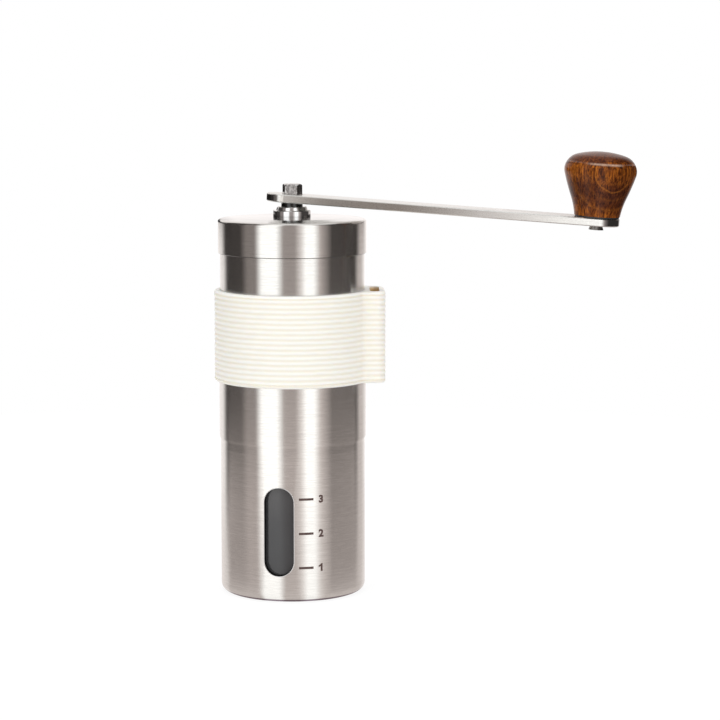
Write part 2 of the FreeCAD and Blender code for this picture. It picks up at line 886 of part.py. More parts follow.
def retainer_screws():
    """Three pan-head screws that hold the retaining ring."""
    seat = retainer_z - fixed_gap
    screw = turned([
        (0, seat - screw_head_height),
        (screw_head_radius, seat - screw_head_height),
        (screw_head_radius, seat),
        (screw_radius, seat),
        (screw_radius, retainer_z + screw_length),
        (0, retainer_z + screw_length),
    ])
    screw.translate(vec(screw_circle, 0, 0))
    return Part.makeCompound(around(screw, key_count, 90))


def inner_burr():
    """Ceramic cone with six spiral ridges over a band of fine teeth."""
    fine = toothed(fine_tooth_count, [
        (inner_burr_bottom_z, inner_burr_radius, inner_burr_radius - fine_tooth_depth, 0),
        (fine_top_z, fine_top_radius, fine_top_radius - fine_tooth_depth, fine_twist),
    ])
    foot = fine_top_radius - fine_tooth_depth
    sections = []
    for index in range(ridge_steps + 1):
        share = index / ridge_steps
        tip = foot + (ridge_top_radius - foot) * share
        valley = tip - ridge_depth * (1 - share / 2)
        sections.append((fine_top_z + ridge_height * share, tip, valley, ridge_twist * share))
    ridges = toothed(ridge_count, sections)
    core = cylinder(burr_boss_radius, fine_top_z, inner_burr_top_z)
    burr = joined([fine, ridges, core])
    pocket_z = inner_burr_top_z - spring_pocket_depth
    burr = burr.cut(cylinder(spring_pocket_radius, pocket_z, inner_burr_top_z + 1))
    burr = burr.cut(cylinder(bush_shaft_bore, inner_burr_bottom_z - 1, inner_burr_top_z))
    slot = block(
        (lug_inner - lug_gap, lug_outer + lug_gap),
        (-lug_width / 2 - lug_gap, lug_width / 2 + lug_gap),
        (inner_burr_bottom_z - 1, drive_top_z + lug_height + lug_gap),
    )
    for cutter in around(slot, 2):
        burr = burr.cut(cutter)
    return burr


def drive_plate():
    """Disc that keys the inner burr to the shaft's flats, with click notches underneath."""
    plate = cylinder(drive_radius, drive_bottom_z, drive_top_z)
    lug_z = (drive_top_z - 1, drive_top_z + lug_height)
    lug = block((lug_inner, lug_outer), (-lug_width / 2, lug_width / 2), lug_z)
    plate = joined([plate] + around(lug, 2))
    through = (drive_bottom_z - 1, drive_top_z + 1)
    flat = shaft_flat + shaft_running_gap
    wide = 2 * shaft_radius
    hole = cylinder(bush_shaft_bore, *through)
    plate = plate.cut(hole.common(block((-wide, wide), (-flat, flat), through)))
    notch = block(
        (detent_inner, detent_outer),
        (-detent_width / 2, detent_width / 2),
        (drive_bottom_z - 1, drive_bottom_z + detent_depth),
    )
    for cutter in around(notch, detent_count):
        plate = plate.cut(cutter)
    return plate


def spring_washer():
    """Thin washer between the spring and the hub's underside."""
    inner = shaft_radius + washer_bore_gap
    top = spring_washer_z + spring_washer_thickness
    return ring(inner, spring_washer_radius, spring_washer_z, top)


def spring_point(turns):
    """Point on the spring's middle line and the direction it runs there."""
    rise = spring_top_z - spring_bottom_z - 2 * spring_wire_radius
    angle = 2 * math.pi * turns
    z = spring_bottom_z + spring_wire_radius + rise * turns / spring_turns
    point = vec(spring_radius * math.cos(angle), spring_radius * math.sin(angle), z)
    climb = rise / (spring_turns * 2 * math.pi)
    along = vec(-spring_radius * math.sin(angle), spring_radius * math.cos(angle), climb)
    return point, along.normalize()


def biarc(start, start_along, end, end_along):
    """Two arcs that join two points and follow both directions."""
    chord = end - start
    both = start_along + end_along
    spread = 2 * (1 - start_along.dot(end_along))
    lead = chord.dot(both)
    reach = (-lead + math.sqrt(lead * lead + spread * chord.dot(chord))) / spread
    middle = (start + start_along * reach + end - end_along * reach) * 0.5
    last = arc_from(end, end_along * -1, middle)
    return [arc_from(start, start_along, middle), last]


def burr_spring():
    """Open-coiled spring of many-sided wire between the hub and the inner burr."""
    halves = int(round(2 * spring_turns))
    edges = []
    for index in range(halves):
        start, start_along = spring_point(index / 2)
        end, end_along = spring_point((index + 1) / 2)
        edges += biarc(start, start_along, end, end_along)
    path = Part.Wire(Part.__sortEdges__(edges))
    start, start_along = spring_point(0)
    outward = vec(start.x, start.y, 0).normalize()
    across = start_along.cross(outward)
    outline = regular(spring_wire_sides, spring_wire_radius, 0)
    corners = [start + outward * x + across * y for x, y in outline]
    section = Part.makePolygon(corners + corners[:1])
    samples = [spring_point(index / 24)[0] for index in range(12 * halves + 1)]
    gap = min(
        samples[first].distanceToPoint(samples[second])
        for first in range(len(samples))
        for second in range(first + 12, len(samples))
    )
    print("spring: least gap to itself %.2f mm" % (gap - 2 * spring_wire_radius))
    return path.makePipeShell([section], True, False)


def grind_dial():
    """Scalloped wheel under the burr, with two nubs that click in the drive plate's notches."""
    wheel = cylinder(dial_radius, dial_bottom_z, dial_top_z)
    scallop = cylinder(dial_scallop, dial_bottom_z - 1, dial_top_z + 1)
    scallop.translate(vec(dial_radius + dial_scallop / 2, 0, 0))
    for cutter in around(scallop, dial_lobes, 180 / dial_lobes):
        wheel = wheel.cut(cutter)
    half_nub = (detent_width - nub_gap) / 2
    nub = block(
        (detent_inner + nub_gap, detent_outer - nub_gap),
        (-half_nub, half_nub),
        (dial_top_z - 1, dial_top_z + nub_height),
    )
    wheel = joined([wheel] + around(nub, 2))
    corner = dial_insert_radius + fixed_gap / math.cos(math.pi / 6)
    return wheel.cut(prism(regular(6, corner, 0), dial_bottom_z - 1, dial_top_z + 1))


def dial_insert():
    """Hexagonal brass nut moulded into the dial."""
    nut = prism(regular(6, dial_insert_radius, 0), dial_bottom_z, dial_top_z)
    return nut.cut(cylinder(thread_radius + thread_gap, dial_bottom_z - 1, dial_top_z + 1))


def main():
    os.makedirs("parts", exist_ok=True)
    makers = [
        grounds_cup, window_gasket, window_pane, grip_band,
        body_tube, burr_carrier, hub_bush, outer_burr, burr_retainer, cup_seal,
        lid_shell, lid_bush, lid_washer, lid_nut,
        shaft, thrust_washer, shaft_clip, spring_washer, burr_spring,
        crank_arm, knob, knob_insert, knob_pin, knob_washer,
        inner_burr, drive_plate, grind_dial, dial_insert,
    ]
    for maker in makers:
        save(maker.__name__, maker())
    save("retainer_screws", retainer_screws(), key_count)


main()
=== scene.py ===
"""Looks of the manual coffee grinder: camera, studio, materials, ribbed band, marks and rim.

Lengths are in metres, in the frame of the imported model: Z is up, the crank points along +X
and the cup's window faces -Y, turned by WINDOW_AZIMUTH. Colours are linear red, green, blue;
a single number stands for a grey.
"""
import json
import math

import bmesh
import bpy
from mathutils import Matrix, Vector

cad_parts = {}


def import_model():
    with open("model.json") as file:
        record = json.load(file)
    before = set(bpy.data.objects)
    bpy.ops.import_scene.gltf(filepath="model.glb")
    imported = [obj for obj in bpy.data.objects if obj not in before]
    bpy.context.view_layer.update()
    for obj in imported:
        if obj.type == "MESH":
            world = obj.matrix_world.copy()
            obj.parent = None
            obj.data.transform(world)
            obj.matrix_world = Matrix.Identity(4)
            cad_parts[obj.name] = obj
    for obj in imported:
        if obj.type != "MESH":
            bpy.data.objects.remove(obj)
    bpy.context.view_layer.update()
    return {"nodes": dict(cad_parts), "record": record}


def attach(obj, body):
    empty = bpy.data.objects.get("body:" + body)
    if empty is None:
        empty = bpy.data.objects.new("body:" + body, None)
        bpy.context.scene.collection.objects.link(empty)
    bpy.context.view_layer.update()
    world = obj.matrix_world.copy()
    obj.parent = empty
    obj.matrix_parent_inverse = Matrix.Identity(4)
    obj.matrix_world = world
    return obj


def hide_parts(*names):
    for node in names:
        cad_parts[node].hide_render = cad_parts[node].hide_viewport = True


MM = 0.001

# Camera, solved from the rims in the photograph
LENS = 130.0
SENSOR = 36.0
NEAREST_SEEN = 10 * MM
CAMERA_PLACE = (0.1166, -0.8493, 0.1867)
LOOK_LEFT = math.radians(6.32)
LOOK_DOWN = math.radians(7.29)
VIEW_AZIMUTH = math.radians(7.82)

# Cloth round the object, which only gloss shows, with dark gaps between. Directions are in
# degrees from the camera's side. Each panel has those where the round steel starts to mirror it,
# mirrors it in full, still does and no longer does, then its brightness on the light tent and
# on the table top. Where two overlap, the brighter one shows.
PANELS = {
    "left_wall": ((-200, -180, -142, -127), (1.1, 0.95)),
    "left_cloth": ((-88, -76, -60, -50), (0.3, 0.55)),
    "left_window": ((-62, -50, -25, -13), (1.6, 1.4)),
    "front_cloth": ((-24, -14, 4, 14), (0.42, 0.64)),
    "right_window": ((3, 21, 34, 50), (1.6, 1.4)),
    "right_cloth": ((28, 36, 44, 64), (0.6, 0.95)),
    "right_wall": ((118, 131, 180, 200), (0.75, 0.75)),
    "back_wall": ((140, 165, 180, 200), (1.1, 0.95)),
}
GAP_LEVELS = (0.07, 0.47)
TENT = 0
TABLE = 1
# The round steel that mirrors the panels, and how far along the table it sees them
MIRROR_RADIUS = 24 * MM
TABLE_REACH = 60 * MM
# The table shows the panels this many degrees further round
TABLE_TURNED = 3

TENT_RADIUS = 195 * MM
TENT_RIGHT = 40 * MM
TENT_HEIGHT = 420 * MM
# Light added low on the tent's front, which fades out between two heights
FOOT_HEIGHTS = (4 * MM, 40 * MM)
FOOT_STOPS = [(-180, 0), (-118, 0), (-106, 0.62), (112, 0.62), (122, 0), (180, 0)]
# Dark screens that the bush mirrors: heights of their soft edges, and where they stand
SCREEN_HEIGHTS = (111 * MM, 116 * MM, 150 * MM, 165 * MM)
SCREEN_STOPS = [
    (-160, 0), (-154, 1), (-104, 1), (-96, 0), (106, 0), (112, 1), (150, 1), (158, 0),
]
SCREEN_LEVEL = 0.03

# The turn of the stops is stretched by far + gain / (distance from the shaft - start)
TABLE_SPREAD = (0.86, 11 * MM, 11.2 * MM)
# The table is at least this bright near the cup; that fades out between two distances
TABLE_NEAR = (26 * MM, 60 * MM)
TABLE_NEAR_LEVEL = 0.76
TABLE_DROP = 0.05 * MM

# Dim cloth mirrors warmer than bright cloth: from the first brightness down to the second,
# red, green and blue lose up to these shares
WARMTH_RANGE = (1.45, 0.6)
WARMTH = (0.0, 0.115, 0.15)

# Surroundings: what lights matt surfaces, and what gloss sees above the tent
DIFFUSE_LEVEL = 0.6
CEILING_LEVEL = 0.95

# Floor: its own glow and the matt part that takes the shadow, and how white the object sees it
FLOOR_RADIUS = 0.42
FLOOR_DROP = 0.1 * MM
FLOOR_GLOW = 0.91
FLOOR_SHADE = 0.12
FLOOR_WHITE = 0.92
STAGE_SIDES = 128

# Soft lamps: (place, size, watts), all aimed at the middle of the grinder
LAMPS = {
    "key_lamp": ((-0.55, -0.85, 0.62), 0.6, 3.1),
    "fill_lamp": ((0.72, -0.85, 0.55), 0.6, 3.3),
    "top_lamp": ((0.0, 0.1, 1.1), 0.7, 4.3),
}
LAMP_AIM = (0.03, 0, 0.09)

# Parts of a noise's range over which a material goes from its dark to its light shade, and
# all of a mask's range
SHARP_RANGE = (0.35, 0.65)
SOFT_RANGE = (0.3, 0.7)
WHOLE_RANGE = (0.0, 1.0)

# Each noise below is (scale along x, y and z, detail, roughness), each bump (strength, depth),
# each pair of roughnesses (where the noise is low, where it is high).

# Steel brushed round the body; its gloss is stretched a quarter turn off the scratches
STEEL_DARK = (0.612, 0.602, 0.577)
STEEL_LIGHT = (0.705, 0.695, 0.668)
STEEL_BANDS = ((70, 70, 2400), 2.0, 0.6)
STEEL_SCRATCHES = ((280, 280, 6500), 2.0, 0.6)
BANDS_SHARE = 0.35
STEEL_BUMP = (0.04, 0.02 * MM)
BRUSHING_TURN = 0.25
BODY_ROUGHNESS = (0.225, 0.205)
BODY_BRUSHING = 0.995
LID_ROUGHNESS = (0.19, 0.17)
LID_BRUSHING = 0.985
# The lid's flat top is glossier
LID_TOP = (124.1 * MM, 124.35 * MM)
LID_TOP_SHADE = (0.635, 0.66, 0.655)
LID_TOP_ROUGHNESS = 0.08
# Painted shade along the lid's lower edge and round the cup's foot, by the heights of their soft edges
LID_SHADE_HEIGHTS = (112.7 * MM, 112.8 * MM, 113.08 * MM, 113.14 * MM)
LID_PAINTED_SHADE = (0.1, 0.095, 0.09)
CUP_SHADE_HEIGHTS = (-2 * MM, -1 * MM, 0.7 * MM, 1.2 * MM)
CUP_PAINTED_SHADE = (0.13, 0.09, 0.115)
# The cup's swaged shoulder mirrors nearly like the straight wall beside it
SHOULDER_HEIGHTS = (50.6 * MM, 51.1 * MM, 52.1 * MM, 52.3 * MM)
SHOULDER_SOFTNESS = 0.94

# Steel arm, brushed along its length
ARM_DARK = (0.66, 0.655, 0.635)
ARM_LIGHT = (0.80, 0.80, 0.775)
ARM_STREAKS = ((120, 4000, 5000), 3.0, 0.6)
ARM_GRAIN = ((1500, 2500, 2500), 2.0, 0.5)
STREAKS_SHARE = 0.6
ARM_ROUGHNESS = (0.34, 0.24)
ARM_BRUSHING = 0.6
ARM_BUMP = (0.08, 0.03 * MM)
# Where its rolled edges start from the middle, and the painted shade on them by the share of its length
ARM_LENGTH = 100 * MM
ARM_EDGE = (6.1 * MM, 6.3 * MM)
ARM_EDGE_PAINTED_SHADE = [
    (0.0, (0.78, 0.75, 0.73)),
    (0.12, (0.63, 0.6, 0.57)),
    (0.36, (0.63, 0.6, 0.57)),
    (0.48, (0.82, 0.81, 0.79)),
    (0.62, 1.0),
    (1.0, (0.93, 0.93, 0.92)),
]
# Its round ends are polished, and darkened with painted shade, outside these places along it, where they
# face sideways: where the upright part of the surface's direction is less than SIDE_FACING
ARM_ENDS = (-5 * MM, -3 * MM, 101.5 * MM, 103.5 * MM)
ARM_END_PAINTED_SHADE = (0.5, 0.5, 0.51)
ARM_END_ROUGHNESS = 0.1
SIDE_FACING = 0.5

# Cast and ground steel of the shaft, with painted shade on its neck where it turns in the bush
SHAFT_DARK = (0.26, 0.255, 0.25)
SHAFT_LIGHT = (0.64, 0.63, 0.62)
SHAFT_GRAIN = ((1500, 1500, 900), 3.0, 0.65)
SHAFT_RANGE = (0.38, 0.62)
SHAFT_ROUGHNESS = 0.13
SHAFT_BUMP = (0.25, 0.08 * MM)
NECK_SHADE_HEIGHTS = (126.5 * MM, 127.5 * MM, 129.45 * MM, 129.55 * MM)
NECK_SHADE = (0.05, 0.05, 0.05)

# Turned metals: (noise, range of the noise, dark shade, light shade, roughness)
TURNED_MARKS = ((900, 900, 4000), 2.0, 0.5)
BRASS_MARKS = ((300, 300, 6000), 2.0, 0.5)
DARK_STEEL = (TURNED_MARKS, SHARP_RANGE, (0.16, 0.155, 0.15), (0.30, 0.29, 0.28), 0.22)
BRASS = (BRASS_MARKS, SOFT_RANGE, (0.62, 0.43, 0.16), (0.80, 0.60, 0.28), 0.28)
POLISHED_SHADE = (0.70, 0.70, 0.70, 1)
POLISHED_RANGE = (0.35, 0.7)
POLISHED_ROUGHNESS = (0.02, 0.05)

# Moulded and fired materials: (dark shade, light shade, roughness, specular level)
MOULDED_GRAIN = ((1400, 1400, 1400), 3.0, 0.5)
MOULDED_BUMP = (0.1, 0.04 * MM)
MOULDED = {
    "black_rubber": (0.003, 0.007, 0.6, 0.12),
    "black_plastic": ((0.018, 0.018, 0.019), (0.03, 0.03, 0.032), 0.45, 0.5),
    "white_ceramic": ((0.78, 0.76, 0.71), (0.86, 0.85, 0.81), 0.4, 0.5),
    "bearing_plastic": ((0.66, 0.63, 0.57), (0.74, 0.72, 0.66), 0.4, 0.5),
}

# Smoky plastic of the window
PANE_CLOUD = ((60, 60, 40), 2.0, 0.5)
PANE_DARK = (0.046, 0.046, 0.048)
PANE_LIGHT = (0.064, 0.064, 0.066)
PANE_ROUGHNESS = 0.16
PANE_CLEARNESS = 0.12
PANE_IOR = 1.49

# Ink of the marks and numbers
INK_GRAIN = ((3000, 3000, 3000), 2.0, 0.5)
INK_DARK = (0.055, 0.030, 0.026)
INK_LIGHT = (0.095, 0.055, 0.048)
INK_ROUGHNESS = 0.6

# Knob: its foot's middle and its tilt, its height and its width
KNOB_FOOT = (100.192 * MM, 0.0, 125.904 * MM)
CRANK_DROOP = math.radians(3.9)
KNOB_HEIGHT = 20.85 * MM
KNOB_WIDTH = 23.6 * MM
# Nested U-shaped curves of the grain: the figure's middle and size, the share of a ramp that
# one distance takes, and for each curve (distance from the middle, brightness, half-width)
GRAIN_SIDE = 2.0 * MM
GRAIN_SKEW = 0.25
GRAIN_HEIGHT = 14.0 * MM
GRAIN_HALF_WIDTH = 5.9 * MM
GRAIN_DEPTH = 5.6 * MM
GRAIN_SHARE = 0.25
GRAIN_CURVES = [
    (0.5, 0.15, 0.02), (1.0, 0.5, 0.018), (1.5, 0.12, 0.03), (2.1, 0.2, 0.03), (2.8, 0.2, 0.03),
]
GRAIN_SHADE = (0.46, 0.15, 0.018)
# Slow noises that bend the curves and the zones: (scale, how far from end to end)
GRAIN_WARP = (170.0, 0.3)
ZONE_DRIFT = (90.0, 0.5)
# Fibres, with a distortion, and pores; then the fibres' shades in dark and in light wood
FIBRES = ((1500, 1500, 210), 4.0, 0.62, 0.4)
PORES = ((3600, 3600, 520), 2.0, 0.5)
FIBRES_DARK = [
    (0.34, (0.036, 0.007, 0.003)),
    (0.5, (0.072, 0.017, 0.006)),
    (0.68, (0.11, 0.028, 0.008)),
]
FIBRES_LIGHT = [
    (0.36, (0.050, 0.010, 0.002)),
    (0.48, (0.19, 0.048, 0.007)),
    (0.64, (0.46, 0.135, 0.013)),
]
PORE_STOPS = [(0.34, 0.8), (0.46, 0)]
PORE_SHADE = (0.020, 0.005, 0.0018)
# How light the wood is by the share of the knob's height, and the painted shade by the share of its
# width, darkest towards +X
WOOD_ZONES = [
    (0.0, 0.95), (0.12, 0.85), (0.24, 0.15), (0.42, 0.05), (0.54, 0.55), (0.66, 1.0), (0.8, 0.9),
    (0.86, 0.2),
]
WOOD_SIDE_SHADE = [(0.1, 0.9), (0.3, 1.0), (0.6, 0.95), (0.85, (0.62, 0.6, 0.58))]
# Ridge between side and crown: its bump, the band of its painted highlight, and how far that highlight
# reaches sideways
RIDGE = (16.6 * MM, 17.1 * MM, 17.1 * MM, 17.7 * MM)
RIDGE_EDGE = (16.6 * MM, 17.1 * MM, 17.2 * MM, 17.7 * MM)
RIDGE_GLINT_REACH = (-10 * MM, -6 * MM, 1.5 * MM, 4 * MM)
GLINT_STRENGTH = 1.1
GLINT_COLOUR = (0.62, 0.44, 0.34)
PORE_RELIEF = 0.03
WOOD_BUMP = (1.0, 0.3 * MM)
WOOD_ROUGHNESS = 0.2
WOOD_SPECULAR = 0.12

# Grip band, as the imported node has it
RIB_COUNT = 17
BAND_TOP = 100.8 * MM
BAND_BOTTOM = 70.7 * MM
BAND_RADIUS = 25.85 * MM
BAND_EDGE = 0.9 * MM
RIB_PITCH = (BAND_TOP - BAND_BOTTOM - 2 * BAND_EDGE) / RIB_COUNT
RIB_DEPTH = 0.37 * MM
RIB_ROUNDNESS = 1.5
SLEEVE_BORE = 24.38 * MM
TUBE_BORE = 23.98 * MM
SLEEVE_TOP = 88.9 * MM
LOOP_AZIMUTH = math.radians(7.5)
LOOP_REACH = 30.65 * MM
LOOP_HALF_DEPTH = 11.5 * MM
LOOP_FRONT_CORNER = 3.2 * MM
LOOP_BACK_CORNER = 5.8 * MM
LOOP_ROOT = 2.0 * MM
LOOP_WALL = 1.9 * MM
SLOT_WIDTH = 3.2 * MM
SLOT_LENGTH = 16.0 * MM
SLOT_CORNER = 1.5 * MM
# Steps of its arcs and edges
ROUND_STEPS = 220
BORE_SIDES = 192
CORNER_STEPS = 14
ROOT_STEPS = 10
LOOP_FACE_STEPS = 6
SLOT_CORNER_STEPS = 4
EDGE_STEPS = 6
RIB_STEPS = 10
SHARP_EDGE = math.radians(50)

# Silicone: its colour on the ribs, a painted highlight on the top lip, and painted shade in the grooves
# and in the loop's slot
SILICONE_CREST = (0.95, 0.928, 0.872)
SILICONE_CLOUD = ((60, 60, 60), 2.0, 0.5)
SILICONE_CLOUD_LEVEL = 0.985
SILICONE_LIP_HIGHLIGHT = (0.985, 0.965, 0.91)
SILICONE_GROOVE_SHADE = (0.89, 0.84, 0.735)
GROOVE_RANGE = (-0.6, 0.9)
SILICONE_SLOT_SHADE = (0.78, 0.56, 0.27)
SLOT_SKIN = 0.15 * MM
SLOT_SHADE = 1.2 * MM
SILICONE_GRAIN = ((2600, 2600, 2600), 2.0, 0.5)
SILICONE_BUMP = (0.04, 0.04 * MM)
SILICONE_ROUGHNESS = 0.5
# How much light goes through it, how far for red, green and blue, and a factor on that
SCATTER_WEIGHT = 0.2
SCATTER_REACH = (4 * MM, 3 * MM, 1.8 * MM)
SCATTER_FACTOR = 0.5

# Level marks and plain numbers beside the window
CUP_RADIUS = 24.0 * MM
WINDOW_AZIMUTH = math.radians(-3.5)
MARK_LIFT = 0.03 * MM
MARK_HEIGHTS = (11.6 * MM, 22.95 * MM, 34.3 * MM)
MARK_ANGLES = (math.radians(15.8), math.radians(27.4))
MARK_THICKNESS = 0.76 * MM
MARK_STEPS = 8
NUMBER_ANGLE = math.radians(33.65)
NUMBER_HEIGHT = 2.6 * MM
NUMBER_WEIGHT = 0.048
ONE_OUTLINE = [
    (-0.06, 0.0), (0.19, 0.0), (0.19, 1.0), (0.0, 1.0), (-0.08, 0.88), (-0.2, 0.79),
    (-0.34, 0.74), (-0.34, 0.53), (-0.2, 0.58), (-0.06, 0.68),
]

# Bright cut edge of the window's opening
WINDOW_HALF_WIDTH = 5.0 * MM
WINDOW_HALF_HEIGHT = 14.75 * MM
WINDOW_HEIGHT = 23.4 * MM
RIM_THICKNESS = 0.13 * MM
RIM_STEPS = 16
RIM_SIDES = 6


def aim_camera():
    """The photograph's camera."""
    data = bpy.data.cameras.new("camera")
    data.lens = LENS
    data.sensor_width = SENSOR
    data.clip_start = NEAREST_SEEN
    camera = bpy.data.objects.new("camera", data)
    bpy.context.collection.objects.link(camera)
    flat = math.cos(LOOK_DOWN)
    look = Vector((-math.sin(LOOK_LEFT) * flat, math.cos(LOOK_LEFT) * flat, -math.sin(LOOK_DOWN)))
    camera.location = CAMERA_PLACE
    camera.rotation_euler = look.to_track_quat("-Z", "Y").to_euler()
    bpy.context.scene.camera = camera


class Nodes:
    """Short-hand for building a node tree."""

    def __init__(self, tree):
        self.tree = tree
        tree.nodes.clear()

    def add(self, kind, **values):
        """Add a node. Each value goes to the setting or input of its name; in2 is input 2."""
        node = self.tree.nodes.new(kind)
        for name, value in values.items():
            key = int(name[2:]) if name[2:].isdigit() else name.replace("_", " ")
            if hasattr(node, name):
                setattr(node, name, value)
            elif isinstance(value, bpy.types.NodeSocket):
                self.tree.links.new(value, node.inputs[key])
            else:
                node.inputs[key].default_value = value
        return node

    def place(self):
        """Place in the object's own coordinates."""
        return self.add("ShaderNodeTexCoord").outputs["Object"]

    def split(self, vector):
        """The x, y and z of a vector."""
        return self.add("ShaderNodeSeparateXYZ", in0=vector).outputs

    def normal(self):
        """Direction that the surface faces, in the scene's coordinates."""
        return self.add("ShaderNodeNewGeometry").outputs["Normal"]

    def math(self, operation, first, second=0.0):
        """Result of a math node."""
        return self.add("ShaderNodeMath", operation=operation, in0=first, in1=second).outputs[0]

    def span(self, value, ends, low=0.0, high=1.0, kind="LINEAR"):
        """Goes from low to high while the value goes between two ends, and stays beyond them."""
        node = self.add(
            "ShaderNodeMapRange",
            interpolation_type=kind,
            in0=value,
            in1=ends[0],
            in2=ends[1],
            in3=low,
            in4=high,
        )
        return node.outputs[0]

    def between(self, value, limits):
        """Mask that rises between the first two limits and falls between the last two."""
        up = self.span(value, limits[:2], kind="SMOOTHSTEP")
        down = self.span(value, limits[2:], 1.0, 0.0, kind="SMOOTHSTEP")
        return self.math("MULTIPLY", up, down)

    def ramp(self, factor, stops):
        """Colour ramp; each stop is (position, colour or grey)."""
        node = self.add("ShaderNodeValToRGB", in0=factor)
        elements = node.color_ramp.elements
        while len(elements) > 1:
            elements.remove(elements[-1])
        for index, (position, colour) in enumerate(stops):
            element = elements[0] if index == 0 else elements.new(position)
            element.position = position
            if isinstance(colour, (int, float)):
                colour = (colour, colour, colour)
            element.color = (*colour, 1.0)
        return node.outputs["Color"]

    def shades(self, noise, dark, light, limits=SOFT_RANGE):
        """From a dark to a light shade over a part of the noise's range."""
        return self.ramp(noise, [(limits[0], dark), (limits[1], light)])

    def mix(self, factor, first, second, blend="MIX"):
        """Mix of two colours."""
        node = self.add("ShaderNodeMix", data_type="RGBA", blend_type=blend)
        for socket, value in ((0, factor), (6, first), (7, second)):
            if isinstance(value, bpy.types.NodeSocket):
                self.tree.links.new(value, node.inputs[socket])
            elif socket == 0:
                node.inputs[0].default_value = value
            else:
                node.inputs[socket].default_value = (*value, 1.0)
        return node.outputs[2]

    def noise(self, place, scale, detail, roughness, distortion=0.0):
        """Noise at a place, stretched by a scale for each axis."""
        mapping = self.add("ShaderNodeMapping", in0=place, in3=scale)
        node = self.add(
            "ShaderNodeTexNoise",
            in0=mapping.outputs[0],
            Scale=1.0,
            Detail=detail,
            Roughness=roughness,
            Distortion=distortion,
        )
        return node.outputs["Fac"]

    def own_noise(self, *values):
        """Stretched noise in the object's own coordinates."""
        return self.noise(self.place(), *values)

    def weighted(self, first, second, share):
        """Sum of two values, by the share of the first."""
        first = self.math("MULTIPLY", first, share)
        return self.math("ADD", first, self.math("MULTIPLY", second, 1 - share))

    def bump(self, height, strength, depth, **values):
        """Surface direction, bumped by a height."""
        values.update(Strength=strength, Distance=depth, Height=height)
        return self.add("ShaderNodeBump", **values).outputs[0]

    def tangent(self, axis):
        """Direction round an axis, along which brushed steel is measured."""
        return self.add("ShaderNodeTangent", direction_type="RADIAL", axis=axis).outputs[0]


def new_material(name):
    """Empty material and its nodes."""
    material = bpy.data.materials.new(name)
    material.use_nodes = True
    return material, Nodes(material.node_tree)


def finish_material(nodes, **values):
    """Principled shader with the given inputs, joined to the output."""
    shader = nodes.add("ShaderNodeBsdfPrincipled", **values)
    nodes.add("ShaderNodeOutputMaterial", in0=shader.outputs[0])


def round_brushed_steel(name, roughness, brushing, shade_heights, painted_shade):
    """Steel brushed round the body: fine level scratches, a band of painted shade low down, the lid's
    glossier top.
    """
    material, nodes = new_material(name)
    x, y, height = nodes.split(nodes.place())
    bands = nodes.own_noise(*STEEL_BANDS)
    scratches = nodes.own_noise(*STEEL_SCRATCHES)
    both = nodes.weighted(bands, scratches, BANDS_SHARE)
    colour = nodes.shades(both, STEEL_DARK, STEEL_LIGHT, SHARP_RANGE)
    # Painted shade between the given heights: the dark line under the lid, or the dark line at the cup's
    # foot
    colour = nodes.mix(nodes.between(height, shade_heights), colour, painted_shade)
    gloss = nodes.span(both, SHARP_RANGE, *roughness)
    top = nodes.span(height, LID_TOP)
    colour = nodes.mix(top, colour, nodes.mix(both, LID_TOP_SHADE, STEEL_LIGHT))
    gloss = nodes.span(top, WHOLE_RANGE, gloss, LID_TOP_ROUGHNESS)
    radial = nodes.add("ShaderNodeCombineXYZ", in0=x, in1=y, in2=0.0).outputs[0]
    outward = nodes.add("ShaderNodeVectorMath", operation="NORMALIZE", in0=radial).outputs[0]
    soft = nodes.math("MULTIPLY", nodes.between(height, SHOULDER_HEIGHTS), SHOULDER_SOFTNESS)
    facing = nodes.add(
        "ShaderNodeMix", data_type="VECTOR", in0=soft, in4=nodes.normal(), in5=outward
    ).outputs[1]
    finish_material(
        nodes,
        Base_Color=colour,
        Metallic=1.0,
        Roughness=gloss,
        Anisotropic=brushing,
        Anisotropic_Rotation=BRUSHING_TURN,
        Normal=nodes.bump(scratches, *STEEL_BUMP, Normal=facing),
        Tangent=nodes.tangent("Z"),
    )
    return material


def arm_steel():
    """Steel bar brushed along its length: painted shade on its edges, darkest near the shaft, and
    polished round ends darkened with painted shade.
    """
    material, nodes = new_material("arm_steel")
    along, across, up = nodes.split(nodes.place())
    streaks = nodes.own_noise(*ARM_STREAKS)
    both = nodes.weighted(streaks, nodes.own_noise(*ARM_GRAIN), STREAKS_SHARE)
    colour = nodes.shades(both, ARM_DARK, ARM_LIGHT, SHARP_RANGE)
    # Painted shade on the edges and sides, darkest near the shaft
    edge_shade = nodes.ramp(nodes.math("DIVIDE", along, ARM_LENGTH), ARM_EDGE_PAINTED_SHADE)
    edge_painted = nodes.mix(1.0, colour, edge_shade, "MULTIPLY")
    colour = nodes.mix(nodes.span(nodes.math("ABSOLUTE", across), ARM_EDGE), colour, edge_painted)
    level = nodes.math("ABSOLUTE", nodes.split(nodes.normal())[2])
    beyond = nodes.math("SUBTRACT", 1.0, nodes.between(along, ARM_ENDS))
    ends = nodes.math("MULTIPLY", beyond, nodes.math("LESS_THAN", level, SIDE_FACING))
    # Painted shade on the polished round ends
    colour = nodes.mix(ends, colour, nodes.mix(1.0, colour, ARM_END_PAINTED_SHADE, "MULTIPLY"))
    gloss = nodes.span(both, SHARP_RANGE, *ARM_ROUGHNESS)
    finish_material(
        nodes,
        Base_Color=colour,
        Metallic=1.0,
        Roughness=nodes.span(ends, WHOLE_RANGE, gloss, ARM_END_ROUGHNESS),
        Anisotropic=nodes.math("MULTIPLY", nodes.math("SUBTRACT", 1.0, ends), ARM_BRUSHING),
        Normal=nodes.bump(both, *ARM_BUMP),
        Tangent=nodes.tangent("X"),
    )
    return material


